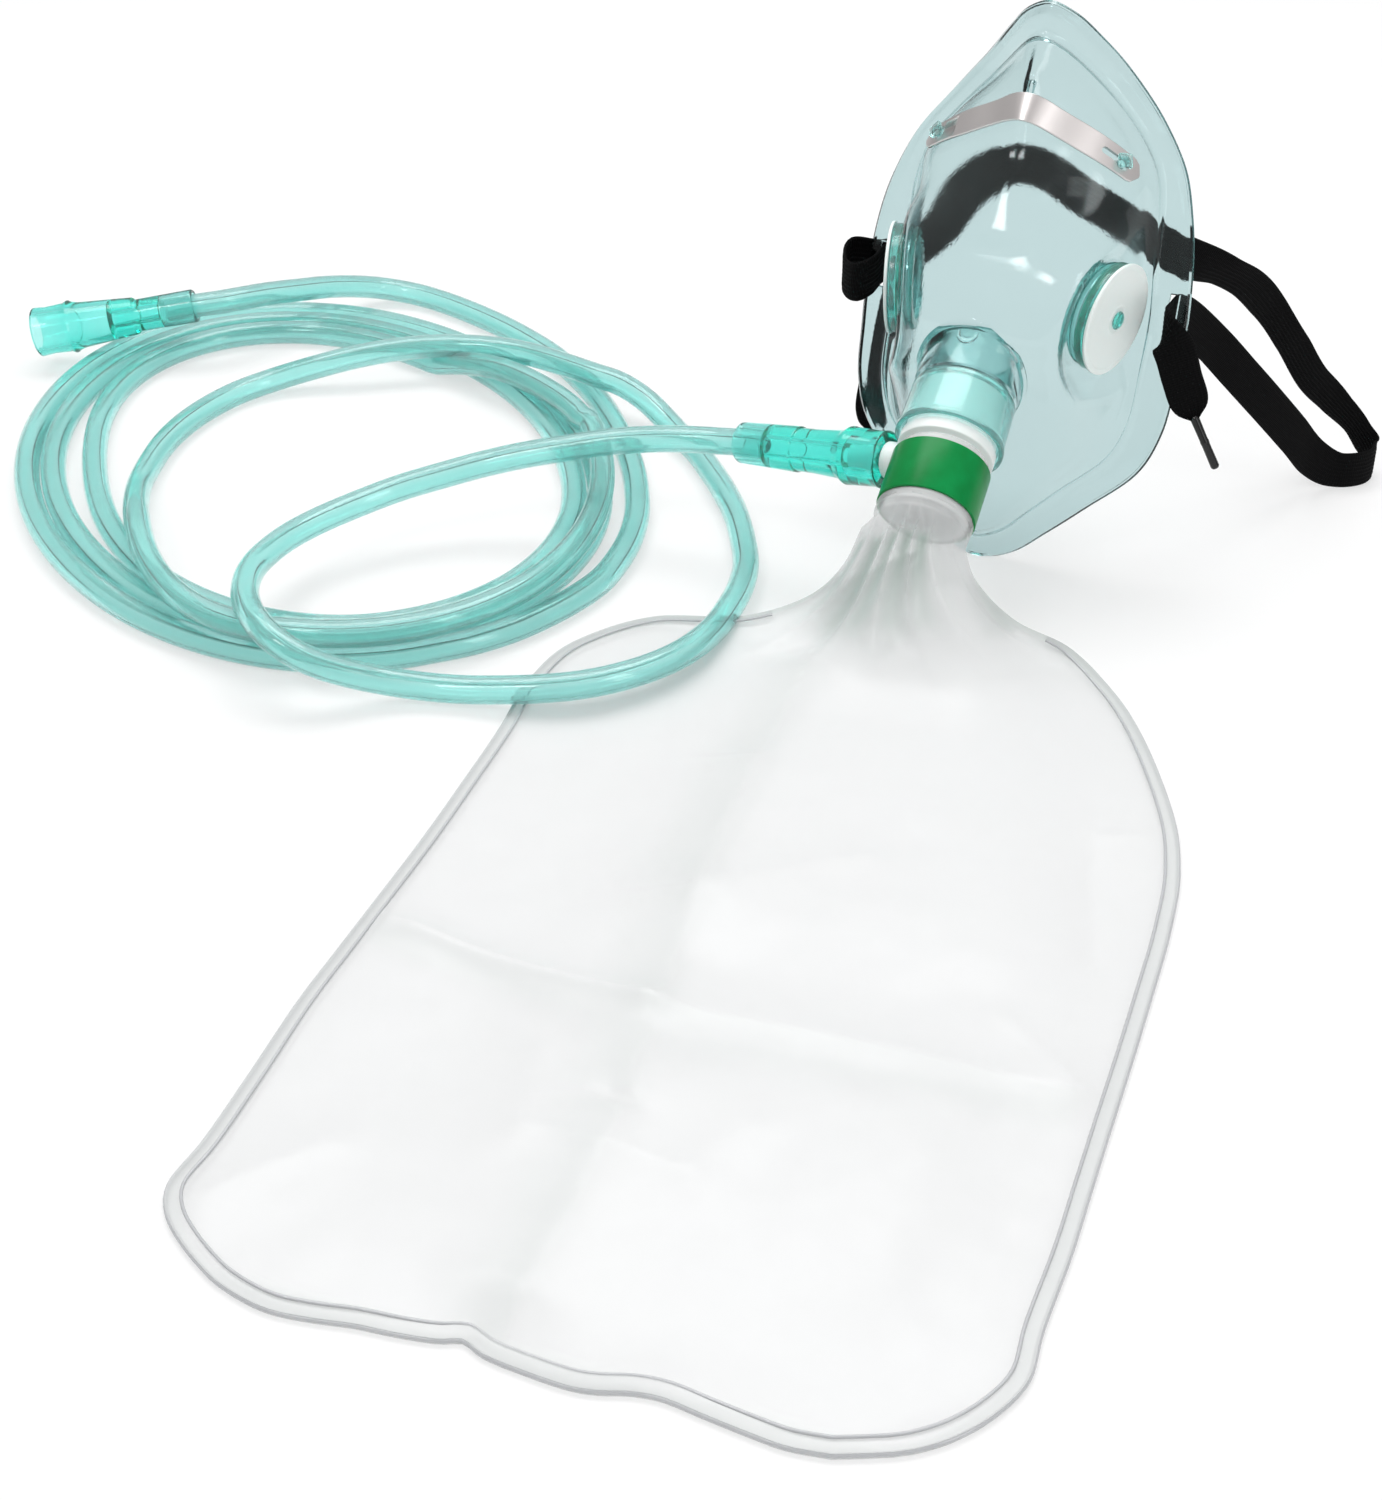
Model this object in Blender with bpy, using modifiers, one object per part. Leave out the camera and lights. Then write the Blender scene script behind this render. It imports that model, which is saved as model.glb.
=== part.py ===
"""High-concentration oxygen face mask with reservoir bag, head strap and coiled supply tubing.

Metres, +Z up. Points in tables are in millimetres and are scaled by MM on use. They are read
with the chin's contact on the surface as zero, the mask's mid-plane as X = 0 and its front
toward -Y. At the end ORIGIN_AT, the middle under mask, strap and bag, becomes the part's origin.
"""
import math

import bmesh
import bpy
from mathutils import Matrix, Vector
from mathutils.bvhtree import BVHTree

MM = 0.001
GAP = 0.3
ORIGIN_AT = (14.1, -98.55, 0.0)

# shell: moulded clear PVC cup
MASK_LEAN = 80.0
MASK_LIFT = 0.25
SHELL_T = 1.5
RIM_STATIONS = 30
SPINE_TOP = 119.0
SPINE_LOW = 22.0

# exhalation valves
VALVE_AT = (24.95, 67.8, 5.5)
VALVE_NORMAL = (0.967, -0.094, 0.236)
VALVE_HOLE_R = 11.5
SEAT_R = 13.0
SEAT_H = 2.4
FLAP_R = 13.45
FLAP_T = 0.8
PEG_R = 1.6
WINDOW_R = 3.0
WINDOW_AT = 7.0
WINDOWS = 6

# gas port, its collar and the reservoir adapter, all along the port axis
PORT_AT = (0.0, 50.6, 23.4)
PORT_DIP = 38.9
PORT_YAW = 4.65
SPIGOT_R = 12.5
SPIGOT_BORE_R = 10.8
SPIGOT_END = 4.0
COLLAR_END = 18.0
COLLAR_R = 13.0
COLLAR_SOCKET_R = 11.4
ADAPTER_R = 11.0
ADAPTER_FLARE_R = 11.5
ADAPTER_BODY_R = 9.9
ADAPTER_BORE_R = 8.0
ADAPTER_END = 38.5
BAND_FROM = 21.9
BAND_TO = 37.8
BAND_R = 11.75
SLEEVE_R = 10.75

# side inlet of the adapter and the cuff connector on it
STUB_AT_Z = 24.2
STUB_TURN = 192.8
STUB_LEAN = 96.9
STUB_R = 4.4
NIPPLE_R = 3.0
CUFF_FROM = 14.6
CUFF_LEN = 10.0
CUFF_R = 6.9
CONNECTOR_TO = 56.0
SOCKET_LEN = 8.0

# nose clip
CLIP_W = 6.5
CLIP_T = 0.8
CLIP_LIFT = 0.45
CLIP_HALF_ANGLE = 79.0

# head strap
STRAP_W = 10.0
STRAP_T = 1.2
SLOT_AT = (37.2, 66.0, -9.6)

# reservoir bag in its own plane
BAG_NECK = (-7.3, -7.4)
BAG_TURN = 7.15
BAG_RIM = 1.5

# tubing
TUBE_D = 6.7
TUBE_STEP = 14.6
COIL_AT = (-174.5, -37.2)
COIL_TURN = 49.1
COIL_A = 76.2
COIL_B = 104.6
COIL_W = 20.4

MASK_POINTS = (
    # v up the mid-plane, u sideways, w forward, flange run, flange rise
    (135.0, 0.0, 0.0, 6.0, 3.0),
    (132.5, 6.0, -2.5, 6.0, 3.0),
    (127.0, 11.5, -8.0, 5.4, 3.4),
    (120.0, 17.5, -14.0, 5.0, 4.0),
    (110.0, 26.0, -17.0, 4.6, 4.2),
    (100.0, 33.2, -15.5, 4.8, 3.8),
    (90.0, 37.0, -13.0, 6.0, 2.8),
    (80.0, 39.2, -11.5, 7.5, 2.0),
    (65.0, 40.6, -10.5, 7.5, 2.0),
    (50.0, 40.3, -9.5, 7.5, 2.0),
    (38.0, 39.3, -8.0, 7.2, 2.0),
    (28.0, 35.5, -6.5, 7.0, 2.0),
    (17.0, 24.5, -4.0, 6.6, 2.2),
    (9.0, 16.0, -2.5, 6.2, 2.6),
    (3.0, 9.0, -1.0, 6.0, 3.0),
    (0.0, 0.0, 0.0, 6.0, 3.0),
)
SPINE = (
    (122.0, 5.2), (112.0, 8.0), (100.0, 12.2), (90.0, 16.8), (80.0, 21.6), (72.0, 24.8),
    (65.0, 26.0), (59.0, 25.2), (52.0, 22.6), (44.0, 19.4), (36.0, 16.6), (28.0, 13.8),
    (22.0, 11.8),
)
WALLS = {
    "tip": ((0, 0), (0.1, 0.12), (0.2, 0.24), (0.32, 0.38), (0.45, 0.52), (0.58, 0.66),
            (0.72, 0.82), (0.84, 0.935), (0.93, 0.988), (1, 1)),
    "nose": ((0, 0), (0.05, 0.15), (0.09, 0.3), (0.17, 0.45), (0.3, 0.6), (0.467, 0.736),
             (0.65, 0.872), (0.817, 0.962), (0.917, 0.991), (1, 1)),
    "cheek": ((0, 0), (0.075, 0.05), (0.135, 0.17), (0.19, 0.37), (0.235, 0.57),
              (0.29, 0.735), (0.38, 0.86), (0.52, 0.945), (0.73, 0.988), (1, 1)),
    "chin": ((0, 0), (0.06, 0.135), (0.137, 0.297), (0.25, 0.486), (0.375, 0.616),
             (0.53, 0.735), (0.69, 0.832), (0.81, 0.903), (0.906, 0.957), (1, 1)),
}
WALL_KEYS = (
    (0.0, "chin"), (12.0, "chin"), (44.0, "cheek"), (78.0, "cheek"),
    (98.0, "nose"), (112.0, "nose"), (130.0, "tip"), (135.0, "tip"),
)

# mask-side tube, from the cuff connector to where it comes down on the coil
MASK_SIDE = (
    (-58.4, -26.6, 31.5), (-69.2, -28.2, 30.4), (-79.4, -30.0, 28.8), (-89.1, -32.9, 27.0),
    (-98.4, -36.8, 25.0), (-107.8, -40.8, 22.8), (-116.8, -45.5, 20.4), (-124.6, -52.1, 18.6),
    (-132.0, -59.4, 17.0), (-138.0, -68.6, 15.8), (-143.0, -79.1, 15.0), (-145.3, -88.9, 14.9),
    (-145.1, -97.7, 15.4), (-143.4, -106.4, 16.2), (-140.3, -113.9, 17.1),
    (-136.0, -120.8, 17.8), (-130.9, -126.5, 18.2), (-125.7, -130.5, 17.9),
    (-120.5, -132.8, 16.8), (-115.5, -133.3, 15.0), (-111.2, -132.1, 12.8),
    (-105.6, -128.8, 9.8), (-98.5, -123.6, 6.4), (-90.7, -119.2, 4.4), (-81.9, -116.2, 4.2),
    (-72.8, -113.7, 5.2), (-63.9, -110.9, 6.4), (-56.1, -106.2, 6.9), (-49.5, -99.2, 6.9),
    (-43.9, -90.0, 6.8), (-40.8, -80.8, 6.6), (-39.8, -69.8, 6.2), (-40.9, -59.0, 5.7),
    (-43.4, -47.6, 4.4), (-47.6, -35.0, 3.5), (-53.6, -23.9, 3.5), (-60.7, -12.9, 3.5),
    (-68.6, -2.9, 3.5), (-76.5, 5.7, 3.5), (-85.1, 14.3, 3.5), (-93.2, 20.4, 4.0),
    (-100.2, 25.3, 5.2), (-108.1, 28.8, 7.8), (-116.5, 30.1, 10.3), (-124.3, 30.2, 11.2),
    (-137.1, 33.2, 10.9), (-150.9, 35.0, 10.7), (-162.9, 33.1, 10.6), (-173.7, 28.8, 10.5),
    (-183.2, 22.6, 10.2), (-192.2, 15.5, 9.2), (-201.5, 8.8, 7.0), (-210.4, 1.4, 4.6),
    (-216.8, -9.3, 3.5), (-218.8, -20.8, 3.5), (-218.9, -32.4, 3.5), (-217.0, -44.2, 3.5),
    (-212.9, -56.4, 3.6), (-207.6, -67.4, 4.6), (-199.8, -78.9, 7.3), (-190.0, -91.3, 10.3),
    (-179.4, -103.0, 11.0), (-170.6, -110.7, 10.9), (-161.9, -116.5, 10.8),
    (-153.4, -120.4, 10.7), (-144.0, -122.8, 10.7),
)
LANE_OVER = (73.4, 101.0)
LANE_OVER_FROM = 239.0
LANE_OVER_TO = 349.0
LANE_OVER_Z = 10.7

# supply-side tube, from the supply connector to where it joins the coil
SUPPLY_MOUTH = (-283.2, -13.8, 10.3)
SUPPLY_SOCKET = (-242.4, 8.2, 17.8)
SUPPLY_SIDE = (
    (-238.6, 10.4, 18.3), (-235.0, 14.2, 18.4), (-232.0, 19.8, 17.9), (-229.9, 25.8, 16.9),
    (-228.0, 32.2, 15.5), (-226.4, 38.6, 13.9), (-224.9, 45.3, 12.2), (-223.2, 53.2, 9.8),
    (-220.9, 60.3, 7.4), (-217.5, 65.9, 5.4), (-212.3, 69.0, 4.2), (-206.0, 70.2, 3.6),
    (-198.5, 69.5, 3.4), (-190.4, 67.7, 3.4), (-173.5, 62.3, 3.4),
    (-160.0, 56.4, 3.4), (-148.1, 50.0, 3.4), (-137.6, 42.6, 3.4), (-126.1, 33.1, 3.4),
    (-115.9, 22.8, 3.4), (-106.5, 11.9, 3.4), (-97.4, 0.1, 3.4), (-89.9, -11.8, 3.4),
    (-83.7, -23.9, 3.4), (-79.4, -36.3, 3.4), (-77.2, -47.6, 3.4), (-76.5, -57.6, 3.4),
)

FACE = (0.9, 0.44, 0.0)
UP = (0.0, 0.0, 1.0)
STRAP = (
    # x, y, z, direction that the width follows, width share
    (48.2, 12.0, 43.6, FACE, 0.24), (47.4, 12.0, 45.4, FACE, 0.7), (46.5, 12.0, 47.6, FACE, 0.92),
    (43.9, 12.0, 53.5, FACE, 0.96), (41.8, 12.0, 59.0, (0.8, 0.35, 0.5), 0.98),
    (39.6, 12.6, 62.4, (0.3, 0.1, 0.9), 1.0), (37.6, 15.6, 63.6, UP, 1.0),
    (37.2, 20.9, 63.3, UP, 1.0), (37.2, 24.8, 63.1, UP, 1.0), (38.4, 30.4, 60.4, UP, 1.0),
    (43.8, 40.5, 50.4, UP, 1.0), (50.0, 48.0, 40.2, UP, 1.0), (56.4, 55.5, 29.8, UP, 1.0),
    (62.4, 63.5, 19.2, UP, 1.0), (67.2, 71.0, 9.8, UP, 1.0), (72.0, 75.4, 5.6, UP, 1.0),
    (77.2, 78.4, 5.3, UP, 1.0), (80.2, 83.6, 5.3, UP, 1.0), (78.6, 89.4, 6.2, UP, 1.0),
    (74.0, 90.6, 11.4, UP, 1.0), (67.6, 87.0, 19.0, UP, 1.0), (61.6, 80.0, 28.6, UP, 1.0),
    (56.4, 74.0, 39.6, UP, 1.0), (50.9, 68.0, 50.0, UP, 1.0), (46.4, 60.6, 58.6, UP, 1.0),
    (41.6, 53.0, 64.2, UP, 1.0), (34.8, 43.0, 70.2, UP, 1.0), (28.0, 38.0, 74.4, UP, 1.0),
    (18.3, 36.0, 79.6, UP, 1.0), (8.0, 35.0, 84.6, UP, 1.0), (-2.7, 35.0, 89.6, UP, 1.0),
    (-11.7, 35.0, 90.0, UP, 1.0), (-21.7, 35.0, 84.6, UP, 1.0), (-29.8, 34.0, 76.8, UP, 1.0),
    (-36.8, 32.0, 71.6, UP, 1.0), (-43.4, 28.4, 67.6, UP, 1.0), (-46.2, 22.0, 63.6, UP, 1.0),
    (-44.4, 15.2, 61.4, UP, 1.0), (-40.4, 12.4, 61.6, UP, 1.0), (-37.6, 15.4, 62.6, UP, 1.0),
    (-37.2, 20.9, 63.3, UP, 1.0), (-37.2, 24.6, 63.2, UP, 1.0),
    (-36.8, 28.4, 62.2, (0.45, 0.0, 1.0), 1.0), (-36.2, 31.8, 59.8, (0.9, 0.0, 0.5), 1.0),
    (-35.9, 33.8, 55.6, (1.0, 0.1, 0.1), 1.0), (-36.2, 34.0, 50.4, (1.0, 0.2, 0.0), 1.0),
    (-37.4, 32.8, 43.0, FACE, 1.0),
    (-38.8, 31.4, 34.0, FACE, 1.0), (-40.2, 30.0, 25.0, FACE, 1.0),
    (-40.6, 29.4, 18.6, FACE, 0.94), (-40.0, 29.4, 15.0, FACE, 0.7), (-39.6, 29.4, 12.8, FACE, 0.24),
)
TIP_RIGHT = ((48.5, 12.0, 42.9), (54.9, 12.0, 31.9))
TIP_LEFT = ((-39.4, 29.4, 12.0), (-37.4, 27.6, 1.9))

# reservoir bag rows, from below the sleeve to the foot; s along the bag, t across it
BAG_ROWS = (
    # s and t mid, s and t left, s and t right, top mid, underside mid, edge top, edge low, lean
    (47.2, 4.9, 46.6, -9.0, 46.8, 18.6, 41.4, 22.4, 31.4, 30.2, 0.48),
    (52.4, 4.2, 50.0, -15.0, 50.2, 23.4, 35.8, 16.6, 24.2, 22.4, 0.34),
    (58.2, 3.6, 50.6, -25.0, 50.4, 33.0, 27.0, 9.0, 10.4, 8.6, 0.2),
    (65.0, 3.2, 48.0, -38.5, 46.5, 45.0, 18.0, 3.0, 1.9, 0.15, 0.1),
    (73.0, 3.0, 52.0, -58.0, 49.4, 55.3, 11.6, 0.4, 1.8, 0.15, 0.0),
    (84.0, 3.0, 65.7, -71.6, 67.0, 64.6, 8.4, 0.1, 1.5, 0.1, 0.0),
    (98.0, 3.0, 85.0, -75.9, 90.0, 74.0, 7.2, 0.1, 1.5, 0.1, 0.0),
    (113.0, 2.8, 106.0, -74.6, 110.0, 78.8, 6.8, 0.1, 1.5, 0.1, 0.0),
    (131.0, 2.9, 129.0, -74.1, 129.8, 80.2, 6.6, 0.1, 1.5, 0.1, 0.0),
    (154.0, 3.0, 152.0, -73.9, 153.0, 80.2, 6.2, 0.1, 1.5, 0.1, 0.0),
    (177.0, 2.8, 177.0, -74.4, 176.0, 79.9, 4.6, 0.1, 1.5, 0.1, 0.0),
    (190.0, 2.6, 190.0, -74.7, 190.0, 79.6, 5.2, 0.1, 1.5, 0.1, 0.0),
    (208.0, 2.4, 206.0, -75.0, 207.0, 79.3, 6.0, 0.1, 1.5, 0.1, 0.0),
    (230.0, 2.1, 228.0, -74.2, 224.0, 79.0, 5.6, 0.1, 1.5, 0.1, 0.0),
    (250.0, 2.0, 247.0, -73.8, 242.0, 78.0, 4.6, 0.1, 1.5, 0.1, 0.0),
    (264.0, 2.2, 261.5, -71.8, 256.0, 76.2, 3.2, 0.1, 1.5, 0.1, 0.0),
    (272.0, 2.4, 271.5, -65.0, 265.8, 70.4, 2.2, 0.1, 1.5, 0.1, 0.0),
    (275.6, 2.6, 277.6, -54.0, 274.2, 60.4, 1.5, 0.1, 1.5, 0.1, 0.0),
)
BAG_COLUMNS = 20


def reset():
    for obj in list(bpy.data.objects):
        bpy.data.objects.remove(obj, do_unlink=True)


def collection(name):
    col = bpy.data.collections.new(name)
    bpy.context.scene.collection.children.link(col)
    return col


def material(name, colour, rough=0.3, metal=0.0, alpha=1.0):
    mat = bpy.data.materials.new(name)
    mat.use_nodes = True
    shader = mat.node_tree.nodes["Principled BSDF"]
    shader.inputs["Base Color"].default_value = (*colour, 1.0)
    shader.inputs["Roughness"].default_value = rough
    shader.inputs["Metallic"].default_value = metal
    shader.inputs["Alpha"].default_value = alpha
    return mat


def place(obj, mat=None, parent=None, col=None):
    (col or PARTS).objects.link(obj)
    if mat:
        obj.data.materials.append(mat)
    if parent:
        obj.parent = parent
    return obj


def mesh_object(name, verts, faces, mat=None, parent=None, col=None):
    mesh = bpy.data.meshes.new(name)
    mesh.from_pydata([tuple(c * MM for c in v) for v in verts], [], faces)
    mesh.update()
    return place(bpy.data.objects.new(name, mesh), mat, parent, col)


def empty(name, at, turn=(0, 0, 0), order="XYZ", parent=None):
    obj = bpy.data.objects.new(name, None)
    FRAMES.objects.link(obj)
    obj.rotation_mode = order
    obj.rotation_euler = [math.radians(a) for a in turn]
    obj.location = [c * MM for c in at]
    if parent:
        obj.parent = parent
    return obj


def lathe(name, profile, mat=None, parent=None, steps=40, closed=True, col=None):
    """Turns a profile of (radius, height) points round Z."""
    mesh = bpy.data.meshes.new(name)
    n = len(profile)
    edges = [(i, i + 1) for i in range(n - 1)]
    if closed:
        edges.append((n - 1, 0))
    mesh.from_pydata([(r * MM, 0.0, z * MM) for r, z in profile], edges, [])
    obj = place(bpy.data.objects.new(name, mesh), mat, parent, col)
    screw = obj.modifiers.new("turn", "SCREW")
    screw.axis = "Z"
    screw.angle = math.tau
    screw.steps = steps
    screw.render_steps = steps
    screw.use_merge_vertices = True
    screw.merge_threshold = 0.00001
    return obj


def cutter(obj):
    obj.hide_render = True
    obj.display_type = "WIRE"
    return obj


def rod(name, radius, low, high, parent=None, turn_to=None, steps=32):
    """Solid cylinder from low to high on Z, used as a cutter or an added boss."""
    obj = lathe(name, [(0, high), (radius, high), (radius, low), (0, low)],
                parent=parent, steps=steps, closed=False, col=CUTTERS)
    if turn_to:
        obj.matrix_basis = turn_to
    return cutter(obj)


def block(name, size, matrix, parent=None):
    x, y, z = (c / 2 for c in size)
    verts = [(sx * x, sy * y, sz * z) for sx in (-1, 1) for sy in (-1, 1) for sz in (-1, 1)]
    faces = [(0, 1, 3, 2), (4, 6, 7, 5), (0, 4, 5, 1), (2, 3, 7, 6), (0, 2, 6, 4), (1, 5, 7, 3)]
    obj = mesh_object(name, verts, faces, parent=parent, col=CUTTERS)
    obj.matrix_basis = matrix
    return cutter(obj)


def boolean(obj, tool, operation="DIFFERENCE"):
    mod = obj.modifiers.new(tool.name, "BOOLEAN")
    mod.operation = operation
    mod.solver = "EXACT"
    mod.object = tool
    return mod


def pose(origin, z_dir, x_hint=(1, 0, 0)):
    """Matrix with Z along z_dir, in metres, from millimetre points."""
    z = Vector(z_dir).normalized()
    x = Vector(x_hint)
    x = (x - z * x.dot(z)).normalized()
    y = z.cross(x)
    rot = Matrix((x, y, z)).transposed().to_4x4()
    return Matrix.Translation(Vector(origin) * MM) @ rot


def smooth(a, b, x):
    x = min(max((x - a) / (b - a), 0.0), 1.0)
    return x * x * (3 - 2 * x)


def lerp_rows(rows, x):
    """Linear reading of rows whose first entry rises or falls steadily."""
    rows = sorted(rows)
    if x <= rows[0][0]:
        return rows[0][1:]
    for a, b in zip(rows, rows[1:]):
        if x <= b[0]:
            k = (x - a[0]) / (b[0] - a[0])
            return tuple(p + (q - p) * k for p, q in zip(a[1:], b[1:]))
    return rows[-1][1:]


def through(points, per=12):
    """Centripetal curve through the points, as a dense polyline of tuples of any width."""
    pts = [tuple(float(c) for c in p) for p in points]
    first = tuple(2 * a - b for a, b in zip(pts[0], pts[1]))
    last = tuple(2 * a - b for a, b in zip(pts[-1], pts[-2]))
    pts = [first] + pts + [last]
    out = []
    for i in range(1, len(pts) - 2):
        p0, p1, p2, p3 = pts[i - 1:i + 3]
        knots = [0.0]
        for a, b in ((p0, p1), (p1, p2), (p2, p3)):
            step = math.dist(a[:3], b[:3]) ** 0.5
            knots.append(knots[-1] + max(step, 1e-6))
        t0, t1, t2, t3 = knots

        def mix(a, b, ta, tb, t):
            return [(x * (tb - t) + y * (t - ta)) / (tb - ta) for x, y in zip(a, b)]

        for k in range(per):
            t = t1 + (t2 - t1) * k / per
            a1 = mix(p0, p1, t0, t1, t)
            a2 = mix(p1, p2, t1, t2, t)
            a3 = mix(p2, p3, t2, t3, t)
            b1 = mix(a1, a2, t0, t2, t)
            b2 = mix(a2, a3, t1, t3, t)
            out.append(tuple(mix(b1, b2, t1, t2, t)))
    out.append(pts[-2])
    return out


def spaced(line, count):
    """Evenly spaced points on a polyline, by its first three values."""
    run = [0.0]
    for a, b in zip(line, line[1:]):
        run.append(run[-1] + math.dist(a[:3], b[:3]))
    out = []
    j = 0
    for i in range(count):
        want = run[-1] * i / (count - 1)
        while j < len(line) - 2 and run[j + 1] < want:
            j += 1
        k = (want - run[j]) / max(run[j + 1] - run[j], 1e-9)
        out.append(tuple(a + (b - a) * k for a, b in zip(line[j], line[j + 1])))
    return out


def length(line):
    return sum(math.dist(a[:3], b[:3]) for a, b in zip(line, line[1:]))


# the shell's loft

def wall_profile(v):
    rows = [(key,) + tuple(c for xy in WALLS[name] for c in xy) for key, name in WALL_KEYS]
    flat = lerp_rows(rows, v)
    return list(zip(flat[::2], flat[1::2]))


def shell_grid(stations):
    """Rows of points from the flange edge over the wall to the mid-plane spine."""
    seats = []
    for side in (1, -1):
        n = Vector((side * VALVE_NORMAL[0], VALVE_NORMAL[1], VALVE_NORMAL[2])).normalized()
        seats.append((Vector((side * VALVE_AT[0], VALVE_AT[1], VALVE_AT[2])), n))
    rim = [(u, v, w, run, rise) for v, u, w, run, rise in MASK_POINTS]
    rim = spaced(through(rim), stations)
    grid = []
    for u, v, w, run, rise in rim:
        v_spine = SPINE_LOW + (SPINE_TOP - SPINE_LOW) * v / MASK_POINTS[0][0]
        w_spine = lerp_rows(SPINE, v_spine)[0]
        along = Vector((-u, v_spine - v))
        reach = along.length
        row = [(0.0, 0.0), (run * 0.5, rise * 0.32)]
        for x, y in wall_profile(v):
            row.append((run + x * (reach - run), rise + y * (w_spine - w - rise)))
        points = []
        for j, (d, h) in enumerate(row):
            p = Vector((u + along.x / reach * d, v + along.y / reach * d, w + h))
            if j > 2:
                for centre, n in seats:
                    up = (p - centre).dot(n)
                    off = (p - centre - n * up).length
                    near = (1.0 - smooth(15.4, 22.0, off)) * (1.0 - smooth(6.0, 10.0, abs(up)))
                    p = p - n * up * near
            if j == len(row) - 1:
                p.x = 0.0
            points.append(p)
        grid.append(points)
    for end in (grid[0], grid[-1]):
        for p in end:
            p.x = 0.0
    return grid


def mirrored(p):
    return Vector((-p.x, p.y, p.z))


def inner_grid(grid, thickness):
    """The same grid moved inward along its own normals, never across the mid-plane."""
    rows = len(grid)
    cols = len(grid[0])
    out = []
    for i in range(rows):
        line = []
        for j, p in enumerate(grid[i]):
            a = grid[i - 1][j] if i > 0 else mirrored(grid[1][j])
            b = grid[i + 1][j] if i < rows - 1 else mirrored(grid[rows - 2][j])
            c = grid[i][j - 1] if j > 0 else p
            d = grid[i][j + 1] if j < cols - 1 else mirrored(c)
            along = d - c
            if along.length < 0.001:
                along = p - c
            n = along.cross(b - a).normalized()
            q = p - n * thickness
            on_plane = i in (0, rows - 1) or j == cols - 1
            q.x = 0.0 if on_plane else max(q.x, p.x * 0.6)
            line.append(q)
        out.append(line)
    return out


def build_shell(name, mat, parent):
    grid = shell_grid(RIM_STATIONS)
    inner = inner_grid(grid, SHELL_T)
    cols = len(grid[0])
    verts = [tuple(p) for row in grid + inner for p in row]
    shift = len(grid) * cols
    faces = []
    for i in range(len(grid) - 1):
        for j in range(cols - 1):
            a = i * cols + j
            faces.append((a, a + 1, a + cols + 1, a + cols))
            faces.append(tuple(shift + k for k in (a + cols, a + cols + 1, a + 1, a)))
        a = i * cols
        faces.append((a, a + cols, a + cols + shift, a + shift))
    shell = mesh_object(name, verts, faces, mat, parent)
    skin = BVHTree.FromPolygons([p * MM for row in grid for p in row],
                                [f for f in faces if max(f) < shift])
    mirror = shell.modifiers.new("other_half", "MIRROR")
    mirror.use_axis = (True, False, False)
    mirror.merge_threshold = 0.00001
    return shell, skin


# ribbons and other lofts

def ribbon(name, frames, thickness, mat, parent=None):
    """frames: centre, width direction, normal, width; closed box section."""
    verts = []
    faces = []
    for centre, across, normal, width in frames:
        a = across * (width / 2)
        n = normal * (thickness / 2)
        verts += [centre - a - n, centre + a - n, centre + a + n, centre - a + n]
    rows = len(frames)
    for i in range(rows - 1):
        for k in range(4):
            p = 4 * i + k
            q = 4 * i + (k + 1) % 4
            faces.append((p, q, q + 4, p + 4))
    faces.append((3, 2, 1, 0))
    e = 4 * (rows - 1)
    faces.append((e, e + 1, e + 2, e + 3))
    obj = mesh_object(name, verts, faces, mat, parent)
    outward(obj)
    return obj


def outward(obj):
    bm = bmesh.new()
    bm.from_mesh(obj.data)
    bmesh.ops.recalc_face_normals(bm, faces=bm.faces)
    if bm.calc_volume(signed=True) < 0:
        bmesh.ops.reverse_faces(bm, faces=bm.faces)
    bm.to_mesh(obj.data)
    bm.free()


def strap_frames(count):
    rows = [(x, y, z) + tuple(hint) + (share,) for x, y, z, hint, share in STRAP]
    line = spaced(through(rows), count)
    frames = []
    for i, row in enumerate(line):
        a = Vector(line[max(i - 1, 0)][:3])
        b = Vector(line[min(i + 1, count - 1)][:3])
        t = (b - a).normalized()
        w = Vector(row[3:6])
        w = (w - t * w.dot(t)).normalized()
        frames.append((Vector(row[:3]), w, t.cross(w).normalized(), STRAP_W * min(row[6], 1.0)))
    return frames


def tube(name, line, mat):
    curve = bpy.data.curves.new(name, "CURVE")
    curve.dimensions = "3D"
    curve.bevel_depth = TUBE_D / 2 * MM
    curve.bevel_resolution = 2
    curve.resolution_u = 1
    curve.render_resolution_u = 0
    curve.use_fill_caps = True
    spline = curve.splines.new("POLY")
    spline.points.add(len(line) - 1)
    for point, at in zip(spline.points, line):
        point.co = (at[0] * MM, at[1] * MM, at[2] * MM, 1.0)
    return place(bpy.data.objects.new(name, curve), mat)


def lane(a, b, angle):
    c = math.cos(math.radians(COIL_TURN))
    s = math.sin(math.radians(COIL_TURN))
    u = a * math.cos(math.radians(angle))
    v = b * math.sin(math.radians(angle))
    return (COIL_AT[0] + c * u - s * v, COIL_AT[1] + s * u + c * v)


def build_coil(name, mat):
    curve = bpy.data.curves.new(name, "CURVE")
    curve.dimensions = "2D"
    curve.fill_mode = "BOTH"
    edge = 0.6
    curve.extrude = (TUBE_D / 2 - edge) * MM
    curve.bevel_depth = edge * MM
    curve.bevel_resolution = 1
    curve.offset = -edge * MM
    curve.render_resolution_u = 0
    for inset, count in ((0.0, 64), (COIL_W, 56)):
        spline = curve.splines.new("POLY")
        spline.points.add(count - 1)
        for i, point in enumerate(spline.points):
            x, y = lane(COIL_A - inset, COIL_B - inset, 360.0 * i / count)
            point.co = (x * MM, y * MM, 0.0, 1.0)
        spline.use_cyclic_u = True
    obj = place(bpy.data.objects.new(name, curve), mat)
    obj.location.z = (TUBE_D / 2 + 0.05) * MM
    return obj


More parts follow.
